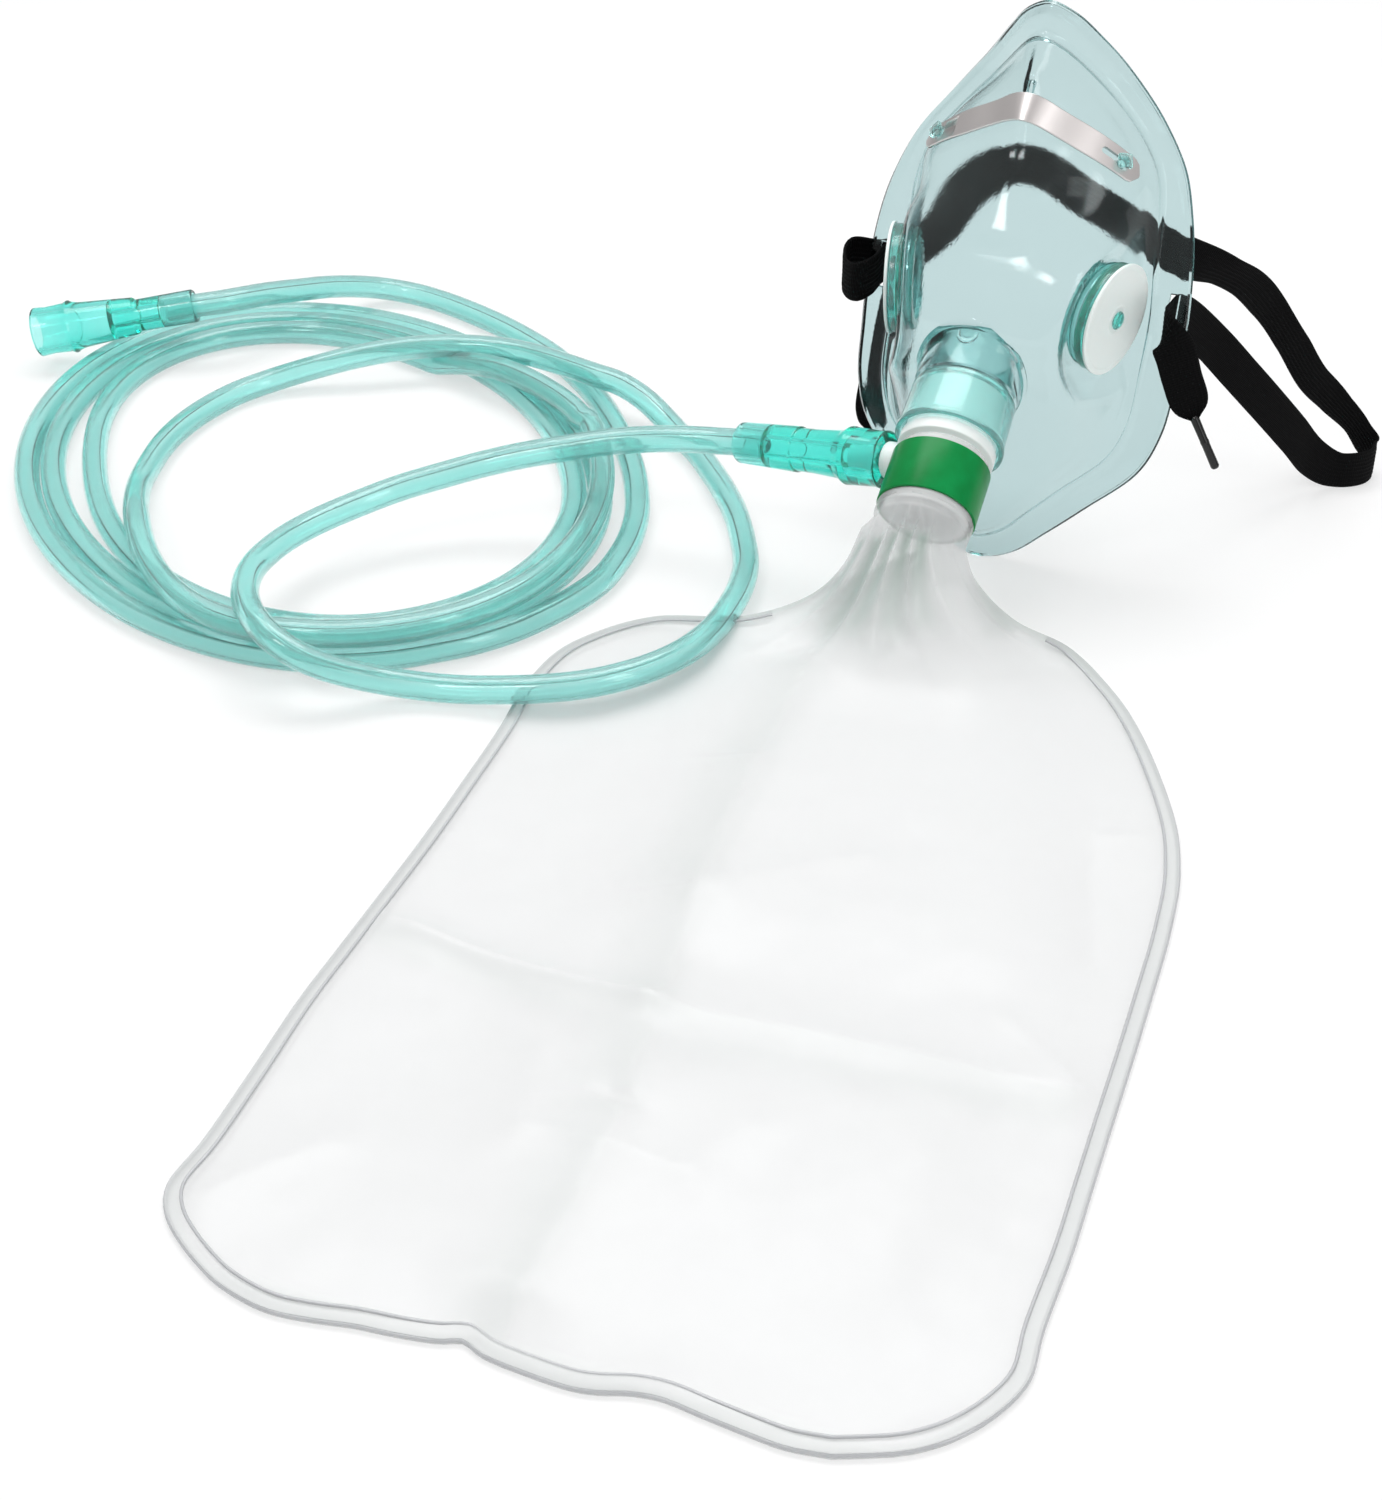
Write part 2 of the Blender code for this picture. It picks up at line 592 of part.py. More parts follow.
def bag_point(s, t, z):
    c = math.cos(math.radians(BAG_TURN))
    d = math.sin(math.radians(BAG_TURN))
    return Vector((BAG_NECK[0] + d * s + c * t, BAG_NECK[1] - c * s + d * t, z))


def build_bag(name, mat, port):
    """Film bag as one closed loft: a round sleeve that opens out, falls and lies flat."""
    n = BAG_COLUMNS
    verts = []
    loop = 2 * (n + 1)
    for height in (BAND_FROM + 0.5, ADAPTER_END + 0.2):
        for side in (1, -1):
            for j in range(n + 1):
                turn = math.pi * j / n
                at = Vector((-math.cos(turn) * side, math.sin(turn) * side, 0)) * SLEEVE_R
                verts.append(port.matrix_world @ ((at + Vector((0, 0, height))) * MM) / MM)
    for index, row in enumerate(BAG_ROWS):
        sm, tm, sl, tl, sr, tr, top, low, edge_top, edge_low, lean = row
        round_share = 1.0 - smooth(-1.0, 3.0, index)
        upper = []
        under = []
        for j in range(n + 1):
            q = -math.cos(math.pi * j / n)
            side_s, side_t = (sl, tl) if q < 0 else (sr, tr)
            s = sm + (side_s - sm) * abs(q) ** 2.2
            t = tm + (side_t - tm) * abs(q)
            arc = math.sqrt(max(1.0 - q * q, 0.0))
            film = smooth(1.0, 0.35, abs(q)) if q > 0 else smooth(0.64, 0.05, -q)
            crown = arc * round_share + film * (1.0 - round_share)
            z_top = edge_top + (top - edge_top) * crown
            z_low = edge_low + (low - edge_low) * (arc * round_share + crown * (1 - round_share))
            middle = (top + low) / 2
            upper.append(bag_point(s + lean * (z_top - middle), t, z_top))
            under.append(bag_point(s + lean * (z_low - middle), t, z_low))
        verts += upper + under[::-1]
    faces = []
    rows = len(BAG_ROWS) + 2
    for i in range(rows - 1):
        for k in range(loop):
            a = i * loop + k
            b = i * loop + (k + 1) % loop
            faces.append((a, b, b + loop, a + loop))
    faces.append(tuple(range(loop))[::-1])
    faces.append(tuple((rows - 1) * loop + k for k in range(loop)))
    bag = mesh_object(name, verts, faces, mat)
    outward(bag)
    return bag


def main():
    global PARTS, CUTTERS, FRAMES
    reset()
    PARTS = collection("oxygen_face_mask")
    CUTTERS = collection("oxygen_face_mask_cutters")
    FRAMES = collection("oxygen_face_mask_frames")

    clear = material("clear_pvc", (0.72, 0.86, 0.85), 0.08, alpha=0.4)
    teal = material("teal_plastic", (0.22, 0.78, 0.70), 0.2)
    white = material("white_plastic", (0.86, 0.90, 0.88), 0.35)
    silicone = material("white_silicone", (0.83, 0.90, 0.87), 0.5)
    green = material("green_band", (0.0, 0.42, 0.14), 0.3)
    film = material("bag_film", (0.86, 0.88, 0.88), 0.2, alpha=0.5)
    tubing = material("tubing", (0.42, 0.80, 0.76), 0.15, alpha=0.8)
    metal = material("clip_aluminium", (0.80, 0.77, 0.76), 0.35, metal=1.0)
    elastic = material("elastic_black", (0.012, 0.012, 0.012), 0.8)
    aglet = material("aglet_black", (0.02, 0.02, 0.02), 0.25)

    mask = empty("mask_frame", (0, 0, MASK_LIFT), (MASK_LEAN, 0, 0))
    port = empty("port_frame", PORT_AT, (PORT_DIP, PORT_YAW, 0), "YXZ", mask)
    stub = empty("stub_frame", (0, 0, STUB_AT_Z), (0, STUB_LEAN, STUB_TURN), parent=port)
    bpy.context.view_layer.update()

    shell, skin = build_shell("mask_shell", clear, mask)

    # gas port on the shell: a spigot cut off level with the shell's inner face, and its bore
    spigot = rod("spigot_add", SPIGOT_R, -18.0, SPIGOT_END, port, steps=48)
    slope = math.degrees(math.atan2(SPINE[6][1] - SPINE[10][1], SPINE[6][0] - SPINE[10][0]))
    face_mid = ((SPINE[6][0] + SPINE[10][0]) / 2, (SPINE[6][1] + SPINE[10][1]) / 2)
    tilt = Matrix.Rotation(math.radians(slope), 4, "X")
    back = Matrix.Translation(Vector((0, face_mid[0], face_mid[1] - 1.2)) * MM) @ tilt
    back = back @ Matrix.Translation(Vector((0, 0, -20)) * MM)
    boolean(spigot, block("spigot_trim", (60, 80, 40), back, mask))
    boolean(shell, spigot, "UNION")
    boolean(shell, rod("port_bore", SPIGOT_BORE_R, -30.0, SPIGOT_END + 2, port, steps=48))

    # strap slots in the flange and valve holes in the cheeks
    for side, word in ((1, "right"), (-1, "left")):
        at = (side * SLOT_AT[0], SLOT_AT[1], SLOT_AT[2])
        boolean(shell, block("slot_" + word, (2.2, STRAP_W + 1.2, 12), pose(at, (0, 0.0, 1)), mask))
        normal = (side * VALVE_NORMAL[0], VALVE_NORMAL[1], VALVE_NORMAL[2])
        seat_at = (side * VALVE_AT[0], VALVE_AT[1], VALVE_AT[2])
        valve = empty("valve_frame_" + word, (0, 0, 0), parent=mask)
        valve.matrix_basis = pose(seat_at, normal, (0, 1, 0))
        hole = rod("valve_hole_" + word, VALVE_HOLE_R, -5.0, 5.0, valve, steps=40)
        boolean(shell, hole)

        flap_low = GAP + SEAT_H + 0.2
        flap_top = flap_low + FLAP_T
        neck_r = VALVE_HOLE_R - GAP
        seat = lathe("exhale_valve_seat_" + word, [
            (0, flap_top + 1.0), (2.3, flap_top + 0.8), (2.3, flap_top + 0.25),
            (PEG_R, flap_top + 0.25), (PEG_R, flap_low - 0.2), (2.6, flap_low - 0.2),
            (2.6, 1.2), (10.6, 1.2), (11.4, GAP + SEAT_H), (SEAT_R, GAP + SEAT_H),
            (SEAT_R, GAP), (neck_r, GAP), (neck_r, -SHELL_T - 0.6), (12.5, -SHELL_T - 0.6),
            (12.1, -SHELL_T - 1.6), (neck_r - 1.2, -SHELL_T - 1.6), (neck_r - 1.2, -0.6),
            (0, -0.6)], teal, valve, 44, closed=False)
        drill = lathe("windows_" + word, [(0, 4), (WINDOW_R, 4), (WINDOW_R, -4), (0, -4)],
                      parent=valve, steps=16, closed=False, col=CUTTERS)
        cutter(drill)
        drill.location = (WINDOW_AT * MM, 0, 0)
        for k in range(WINDOWS):
            turned = cutter(drill.copy())
            turned.data = drill.data.copy()
            CUTTERS.objects.link(turned)
            turned.name = "window_%s_%d" % (word, k)
            spin = math.tau * k / WINDOWS
            turned.location = (WINDOW_AT * MM * math.cos(spin), WINDOW_AT * MM * math.sin(spin), 0)
            boolean(seat, turned)
        bpy.data.objects.remove(drill)
        hub = PEG_R + GAP
        lathe("exhale_valve_flap_" + word, [
            (FLAP_R - 0.15, flap_top), (FLAP_R, flap_top - 0.15), (FLAP_R, flap_low + 0.15),
            (FLAP_R - 0.15, flap_low), (hub, flap_low), (hub, flap_top)], silicone, valve, 44)

    # nose clip: rays in one tilted plane find the skin, the strip follows it
    low = Vector((27.6, 97.7, -3.4))
    crest = Vector((0, 113.0, 8.0))
    start = Vector((0, 98.0, -10.0))
    plane_n = Vector((1, 0, 0)).cross(crest - Vector((0, low.y, low.z))).normalized()
    start = start - plane_n * (start - crest).dot(plane_n)
    fore = plane_n.cross(Vector((1, 0, 0))).normalized()
    if fore.z < 0:
        fore = -fore
    half = []
    steps = 9
    for k in range(steps + 1):
        angle = math.radians(CLIP_HALF_ANGLE) * k / steps
        ray = fore * math.cos(angle) + Vector((1, 0, 0)) * math.sin(angle)
        ray.x = max(ray.x, 0.001)
        hit, normal, _, _ = skin.ray_cast(start * MM, ray)
        if normal.dot(ray) < 0:
            normal = -normal
        if k == 0:
            hit.x = 0.0
            normal.x = 0.0
        half.append((hit / MM, normal.normalized()))
    path = [(Vector((-p.x, p.y, p.z)), Vector((-n.x, n.y, n.z))) for p, n in half[:0:-1]] + half
    softened = []
    for i, (p, n) in enumerate(path):
        near = path[max(i - 1, 0):i + 2]
        softened.append((p, sum((m for _, m in near), Vector()).normalized()))
    frames = []
    total = len(softened)
    for i, (p, n) in enumerate(softened):
        a = softened[max(i - 1, 0)][0]
        b = softened[min(i + 1, total - 1)][0]
        t = (b - a).normalized()
        n = (n - t * n.dot(t)).normalized()
        lift = CLIP_LIFT + CLIP_T / 2 + (0.5 if abs(i - total // 2) <= 1 else 0.15)
        share = 0.62 if i in (0, total - 1) else 1.0
        frames.append((p + n * lift, t.cross(n).normalized(), n, CLIP_W * share))
    clip = ribbon("nose_clip", frames, CLIP_T, metal, mask)
    for word, i in (("right", total - 2), ("left", 1)):
        p, n = softened[i]
        at = frames[i][0]
        t = softened[i + 1][0] - softened[i - 1][0]
        frame = pose(at, n, t)
        boolean(clip, block("clip_slot_" + word, (5.0, 3.0, 6), frame, mask))
        post = rod("clip_peg_" + word, 1.1, -3.2, 1.1, mask, frame, 16)
        boolean(shell, post, "UNION")
        head = block("clip_head_" + word, (3.6, 3.6, 1.2), frame @ Matrix.Translation((0, 0, 0.0014)),
                     mask)
        boolean(shell, head, "UNION")

    # collar and reservoir adapter
    lathe("port_collar", [
        (COLLAR_R, COLLAR_END), (COLLAR_R, COLLAR_END - 1.4), (COLLAR_R - 0.35, COLLAR_END - 2.0),
        (12.4, SPIGOT_END + GAP + 0.3), (12.1, SPIGOT_END + GAP), (10.5, SPIGOT_END + GAP),
        (10.5, -8.0), (8.7, -8.0), (8.7, 5.0), (COLLAR_SOCKET_R - 0.5, 5.0),
        (COLLAR_SOCKET_R, COLLAR_END - 2.0), (COLLAR_SOCKET_R + 0.5, COLLAR_END)],
        teal, port, 48)
    adapter = lathe("reservoir_adapter", [
        (0, 13.0), (ADAPTER_BORE_R, 13.0), (ADAPTER_BORE_R, ADAPTER_END),
        (ADAPTER_BODY_R, ADAPTER_END), (ADAPTER_BODY_R, 21.6), (ADAPTER_FLARE_R, 21.2),
        (ADAPTER_FLARE_R, COLLAR_END + 0.5), (ADAPTER_R - 0.1, COLLAR_END - 0.2),
        (ADAPTER_R - 0.5, 5.4), (9.4, 5.4), (9.4, 11.5), (0, 11.5)],
        white, port, 48, closed=False)
    inlet = rod("inlet_add", STUB_R, 8.8, CUFF_FROM - 0.3, stub, steps=28)
    nipple = rod("nipple_add", NIPPLE_R, 9.0, CUFF_FROM + 8.6, stub, steps=20)
    boolean(inlet, nipple, "UNION")
    boolean(adapter, inlet, "UNION")
    boolean(adapter, rod("inlet_bore", 2.0, 6.5, CUFF_FROM + 12.0, stub, steps=16))
    for k in range(5):
        spin = math.tau * (k + 0.27) / 5
        hole = rod("web_window_%d" % k, 2.0, 9.0, 16.0, port, steps=14)
        hole.location = (4.6 * MM * math.cos(spin), 4.6 * MM * math.sin(spin), 0)
        boolean(adapter, hole)
    lathe("check_valve_flap", [(0, 11.2), (7.2, 11.2), (7.2, 10.6), (0, 10.6)],
          silicone, port, 32, closed=False)

    # band and bag, both notched where the side inlet passes
    notch = rod("band_notch", STUB_R + 0.6, 5.0, 30.0, stub, steps=28)
    lift_off = pose((-14.0, -3.2, BAND_FROM - 3.0), (0, 0, 1))
    clear_top = block("band_notch_top", (16, 2 * STUB_R + 1.2, 9), lift_off, port)
    band = lathe("bag_band", [(BAND_R, BAND_TO), (BAND_R, BAND_FROM),
                              (SLEEVE_R + GAP, BAND_FROM), (SLEEVE_R + GAP, BAND_TO)],
                 green, port, 48)
    boolean(band, notch)
    boolean(band, clear_top)
    bag = build_bag("reservoir_bag", film, port)
    boolean(bag, rod("sleeve_bore", ADAPTER_BODY_R + GAP, 15.0, ADAPTER_END + 0.6, port, steps=48))
    boolean(bag, notch)
    boolean(bag, clear_top)

    # cuff connector on the side inlet
    end = CONNECTOR_TO
    lathe("mask_tube_connector", [
        (4.6, end), (5.0, end - 0.4), (5.55, end - 17.0), (5.2, end - 17.4),
        (5.8, CUFF_FROM + CUFF_LEN + 2.2), (CUFF_R + 0.15, CUFF_FROM + CUFF_LEN),
        (CUFF_R, CUFF_FROM + CUFF_LEN - 1.0), (CUFF_R - 0.3, CUFF_FROM + 2.0),
        (CUFF_R, CUFF_FROM + 0.4), (CUFF_R - 0.3, CUFF_FROM), (NIPPLE_R + GAP, CUFF_FROM),
        (NIPPLE_R + GAP, CUFF_FROM + CUFF_LEN), (1.8, CUFF_FROM + CUFF_LEN + 0.6),
        (1.8, end - SOCKET_LEN - 0.4), (TUBE_D / 2 + 0.35, end - SOCKET_LEN),
        (TUBE_D / 2 + 0.35, end)], teal, stub, 36)

    # supply connector, resting on the coil
    a = Vector(SUPPLY_MOUTH)
    b = Vector(SUPPLY_SOCKET)
    axis = b - a
    far = axis.length
    mouth = empty("supply_frame", (0, 0, 0))
    mouth.matrix_basis = pose(a, axis, (0, 0, 1))
    lathe("supply_connector", [
        (4.4, far), (4.75, far - 0.4), (4.55, far * 0.64), (5.3, far * 0.62), (6.5, 13.5),
        (7.0, 11.5), (7.6, 10.6), (7.0, 9.2), (6.7, 4.0), (7.0, 0.4), (6.7, 0.0), (5.4, 0.0),
        (5.0, 1.2), (4.3, 22.0), (1.8, 23.0), (1.8, far - 10.4), (TUBE_D / 2 + 0.35, far - 10.0),
        (TUBE_D / 2 + 0.35, far)], teal, mouth, 36)

    # tubing
    bpy.context.view_layer.update()
    root = stub.matrix_world.translation / MM
    out = stub.matrix_world.to_3x3() @ Vector((0, 0, 1))
    out.normalize()
    exit_at = root + out * (CONNECTOR_TO - SOCKET_LEN + 0.3)
    outside = root + out * CONNECTOR_TO
    over = []
    angle = LANE_OVER_FROM
    while angle <= LANE_OVER_TO + 0.1:
        over.append((*lane(*LANE_OVER, angle), LANE_OVER_Z))
        angle += 11.0
    route = [tuple(exit_at), tuple(outside)] + list(MASK_SIDE) + over
    line = through(route)
    tube("tube_mask_side", spaced(line, round(length(line) / TUBE_STEP) + 1), tubing)
    entry = b - axis.normalized() * 9.7
    line = through([tuple(entry), tuple(b)] + list(SUPPLY_SIDE))
    tube("tube_supply_side", spaced(line, round(length(line) / TUBE_STEP) + 1), tubing)
    build_coil("tube_coil", tubing)

    # head strap and its two tips
    ribbon("head_strap", strap_frames(96), STRAP_T, elastic)
    for name, (p, q) in (("strap_tip_right", TIP_RIGHT), ("strap_tip_left", TIP_LEFT)):
        p = Vector(p)
        span = Vector(q) - p
        tip = lathe(name, [(0, span.length), (0.8, span.length), (1.1, span.length - 0.4),
                           (1.1, 0.3), (0.8, 0.0), (0, 0.0)], aglet, None, 14, closed=False)
        tip.matrix_basis = pose(p, span, (1, 0, 0.1))

    for obj in bpy.data.objects:
        if obj.parent is None:
            obj.location = obj.location - Vector(ORIGIN_AT) * MM


main()
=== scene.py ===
"""Oxygen face mask with reservoir bag, head strap and coiled tubing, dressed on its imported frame.

Laid out as an add-on: one operator for each group of pieces and one for the stage. Tables are in
millimetres, read with the chin's contact on the surface as zero, the mask's mid-plane as x = 0
and its front toward -y. ORIGIN is where the part's own origin lies in them.
"""
import math

import bmesh
import bpy
from bpy.props import FloatProperty, FloatVectorProperty, IntProperty, PointerProperty
from mathutils import Euler, Matrix, Vector, noise
from mathutils.bvhtree import BVHTree
from mathutils.kdtree import KDTree


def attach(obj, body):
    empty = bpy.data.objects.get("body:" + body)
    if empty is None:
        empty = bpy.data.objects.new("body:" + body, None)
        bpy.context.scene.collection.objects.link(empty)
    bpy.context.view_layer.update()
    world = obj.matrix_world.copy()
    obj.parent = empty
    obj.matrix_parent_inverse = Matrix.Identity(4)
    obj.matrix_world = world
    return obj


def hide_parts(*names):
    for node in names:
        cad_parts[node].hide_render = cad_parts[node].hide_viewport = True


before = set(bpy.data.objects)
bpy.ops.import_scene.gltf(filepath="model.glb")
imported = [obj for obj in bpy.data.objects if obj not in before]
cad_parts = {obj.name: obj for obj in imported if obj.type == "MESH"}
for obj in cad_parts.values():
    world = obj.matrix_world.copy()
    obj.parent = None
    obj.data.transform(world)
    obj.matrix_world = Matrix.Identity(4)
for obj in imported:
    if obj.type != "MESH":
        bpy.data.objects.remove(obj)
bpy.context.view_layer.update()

bl_info = {
    "name": "Oxygen face mask",
    "version": (1, 0, 0),
    "blender": (4, 5, 0),
    "location": "3D View > Sidebar > Mask",
    "description": "Builds a clear oxygen mask with its bag, strap, valves and tubing",
    "category": "Object",
}

MM = 0.001
# no vertex of the shell lies lower than this, in metres
FLOOR_GAP = 0.0001
ORIGIN = Vector((14.1, -98.55, 0.0))
WORLD = Matrix.Translation(-ORIGIN * MM)

# where the moulded pieces sit, as in the frame
MASK = WORLD @ Matrix.Translation((0, 0, 0.25 * MM)) @ Matrix.Rotation(math.radians(80), 4, "X")
PORT = (MASK @ Matrix.Translation(Vector((0, 50.6, 23.4)) * MM)
        @ Euler((math.radians(38.9), math.radians(4.65), 0), "YXZ").to_matrix().to_4x4())
STUB = (PORT @ Matrix.Translation(Vector((0, 0, 24.2)) * MM)
        @ Euler((0, math.radians(96.9), math.radians(192.8)), "XYZ").to_matrix().to_4x4())
# the right valve's seat; the left one is its mirror image, as each slot is of the other
VALVE_AT = (24.95, 67.8, 5.5)
VALVE_NORMAL = (0.967, -0.094, 0.236)
VALVE_HOLE_R = 11.5
SLOT_AT = (37.2, 66.0, -9.6)
SLOT_SIZE = (2.2, 11.2, 12.0)
# two places on the mid-plane in the tilted plane that the nose clip lies in
CLIP_CREST = (0.0, 113.0, 8.0)
CLIP_LOW = (0.0, 97.7, -3.4)
# along the port
SPIGOT_R = 12.5
SPIGOT_BORE_R = 10.8
SPIGOT_END = 4.0
BAND_TOP = 24.2
BAND_FOOT = 37.8
# along the gas inlet
CUFF_FROM = 14.6
CONNECTOR_TO = 56.0

RIM = (
    # v up the mid-plane, u sideways, w forward, flange run, flange rise
    (135.0, 0.0, 0.0, 6.0, 3.0), (132.5, 6.0, -2.5, 6.0, 3.0), (127.0, 11.5, -8.0, 5.4, 3.4),
    (120.0, 17.5, -14.0, 5.0, 4.0), (110.0, 26.0, -17.0, 4.6, 4.2), (100.0, 33.2, -15.5, 4.8, 3.8),
    (90.0, 37.0, -13.0, 6.0, 2.8), (80.0, 39.2, -11.5, 7.5, 2.0), (65.0, 40.6, -10.5, 7.5, 2.0),
    (50.0, 40.3, -9.5, 7.5, 2.0), (38.0, 39.3, -8.0, 7.2, 2.0), (28.0, 35.5, -6.5, 7.0, 2.0),
    (17.0, 24.5, -4.0, 6.6, 2.2), (9.0, 16.0, -2.5, 6.2, 2.6), (3.0, 9.0, -1.0, 6.0, 3.0),
    (0.0, 0.0, 0.0, 6.0, 3.0),
)
# crest of the nose ridge: place up the mid-plane and height
RIDGE = (
    (122.0, 5.2), (112.0, 8.0), (100.0, 12.2), (90.0, 16.8), (80.0, 21.6), (72.0, 24.8),
    (65.0, 26.0), (59.0, 25.2), (52.0, 22.6), (44.0, 19.4), (36.0, 16.6), (28.0, 13.8),
    (22.0, 11.8),
)
RIDGE_TOP = 119.0
RIDGE_LOW = 22.0
# sections of the wall from flange to crest, as share of the way and share of the rise
WALLS = {
    "tip": ((0, 0), (0.1, 0.12), (0.2, 0.24), (0.32, 0.38), (0.45, 0.52), (0.58, 0.66),
            (0.72, 0.82), (0.84, 0.935), (0.93, 0.988), (1, 1)),
    "nose": ((0, 0), (0.05, 0.15), (0.09, 0.3), (0.17, 0.45), (0.3, 0.6), (0.467, 0.736),
             (0.65, 0.872), (0.817, 0.962), (0.917, 0.991), (1, 1)),
    "cheek": ((0, 0), (0.075, 0.05), (0.135, 0.17), (0.19, 0.37), (0.235, 0.57),
              (0.29, 0.735), (0.38, 0.86), (0.52, 0.945), (0.73, 0.988), (1, 1)),
    "chin": ((0, 0), (0.06, 0.135), (0.137, 0.297), (0.25, 0.486), (0.375, 0.616),
             (0.53, 0.735), (0.69, 0.832), (0.81, 0.903), (0.906, 0.957), (1, 1)),
}
# the section at each height of the rim
WALL_KEYS = (
    (0.0, "chin"), (12.0, "chin"), (44.0, "cheek"), (78.0, "cheek"),
    (98.0, "nose"), (112.0, "nose"), (130.0, "tip"), (135.0, "tip"),
)

# tubing from the mask's inlet to the coil, then from the coil to the supply end
MASK_SIDE = (
    (-58.4, -26.6, 31.5), (-69.2, -28.2, 30.4), (-79.4, -30.0, 28.8), (-89.1, -32.9, 27.0),
    (-98.4, -36.8, 25.0), (-107.8, -40.8, 22.8), (-116.8, -45.5, 20.4), (-124.6, -52.1, 18.6),
    (-132.0, -59.4, 17.0), (-138.0, -68.6, 15.8), (-143.0, -79.1, 15.0), (-145.3, -88.9, 14.9),
    (-145.1, -97.7, 15.4), (-143.4, -106.4, 16.2), (-140.3, -113.9, 17.1),
    (-136.0, -120.8, 17.8), (-130.9, -126.5, 18.2), (-125.7, -130.5, 17.9),
    (-120.5, -132.8, 16.8), (-115.5, -133.3, 15.0), (-111.2, -132.1, 12.8),
    (-105.6, -128.8, 9.8), (-98.5, -123.6, 6.4), (-90.7, -119.2, 4.4), (-81.9, -116.2, 4.2),
    (-72.8, -113.7, 5.2), (-63.9, -110.9, 6.4), (-56.1, -106.2, 6.9), (-49.5, -99.2, 6.9),
    (-43.9, -90.0, 6.8), (-40.8, -80.8, 6.6), (-39.8, -69.8, 6.2), (-40.9, -59.0, 5.7),
    (-43.4, -47.6, 4.4), (-47.6, -35.0, 3.5), (-53.6, -23.9, 3.5), (-60.7, -12.9, 3.5),
    (-68.6, -2.9, 3.5), (-76.5, 5.7, 3.5), (-85.1, 14.3, 3.5), (-93.2, 20.4, 4.0),
    (-100.2, 25.3, 5.2), (-108.1, 28.8, 7.8), (-116.5, 30.1, 10.3), (-124.3, 30.2, 11.2),
    (-137.1, 33.2, 10.9), (-150.9, 35.0, 10.7), (-162.9, 33.1, 10.6), (-173.7, 28.8, 10.5),
    (-183.2, 22.6, 10.2), (-192.2, 15.5, 9.2), (-201.5, 8.8, 7.0), (-210.4, 1.4, 4.6),
    (-216.8, -9.3, 3.5), (-218.8, -20.8, 3.5), (-218.9, -32.4, 3.5), (-217.0, -44.2, 3.5),
    (-212.9, -56.4, 3.6), (-207.6, -67.4, 4.6), (-199.8, -78.9, 7.3), (-190.0, -91.3, 10.3),
    (-179.4, -103.0, 11.0), (-170.6, -110.7, 10.9), (-161.9, -116.5, 10.8),
    (-153.4, -120.4, 10.7), (-144.0, -122.8, 10.7),
)
# the coil: its centre, turn in degrees, half axes of the outer lane, and heights of its lanes
COIL_AT = (-174.5, -37.2)
COIL_TURN = 49.1
COIL_A = 72.85
COIL_B = 101.25
LANE_HEIGHT = 3.45
LANE_OVER_HEIGHT = 10.7
LEAVE_COIL = (
    (-102.7, -108.5, 3.4), (-97.6, -103.5, 3.4), (-90.9, -96.3, 3.4), (-85.1, -87.4, 3.4),
    (-81.0, -77.8, 3.4), (-78.1, -68.0, 3.4), (-76.5, -57.6, 3.4), (-77.2, -47.6, 3.4),
    (-79.4, -36.3, 3.4), (-83.7, -23.9, 3.4), (-89.9, -11.8, 3.4), (-97.4, 0.1, 3.4),
    (-106.5, 11.9, 3.4), (-115.9, 22.8, 3.4), (-126.1, 33.1, 3.4), (-137.6, 42.6, 3.4),
    (-148.1, 50.0, 3.4), (-160.0, 56.4, 3.4), (-173.5, 62.3, 3.4), (-190.4, 67.7, 3.4),
    (-198.5, 69.5, 3.4), (-206.0, 70.2, 3.6), (-212.3, 69.0, 4.2), (-217.5, 65.9, 5.4),
    (-220.9, 60.3, 7.4), (-223.2, 53.2, 9.8), (-224.9, 45.3, 12.2), (-226.4, 38.6, 13.9),
    (-228.0, 32.2, 15.5), (-229.9, 25.8, 16.9), (-232.0, 19.8, 17.9), (-235.0, 14.2, 18.4),
    (-238.6, 10.4, 18.3),
)
SUPPLY_MOUTH = (-283.2, -13.8, 10.3)
SUPPLY_SOCKET = (-242.4, 8.2, 17.8)
MASK_SOCKET_DEPTH = 7.7
SUPPLY_SOCKET_DEPTH = 9.7
# metres by which the bore stays inside the hose's closed ends
BORE_INSET = 0.001

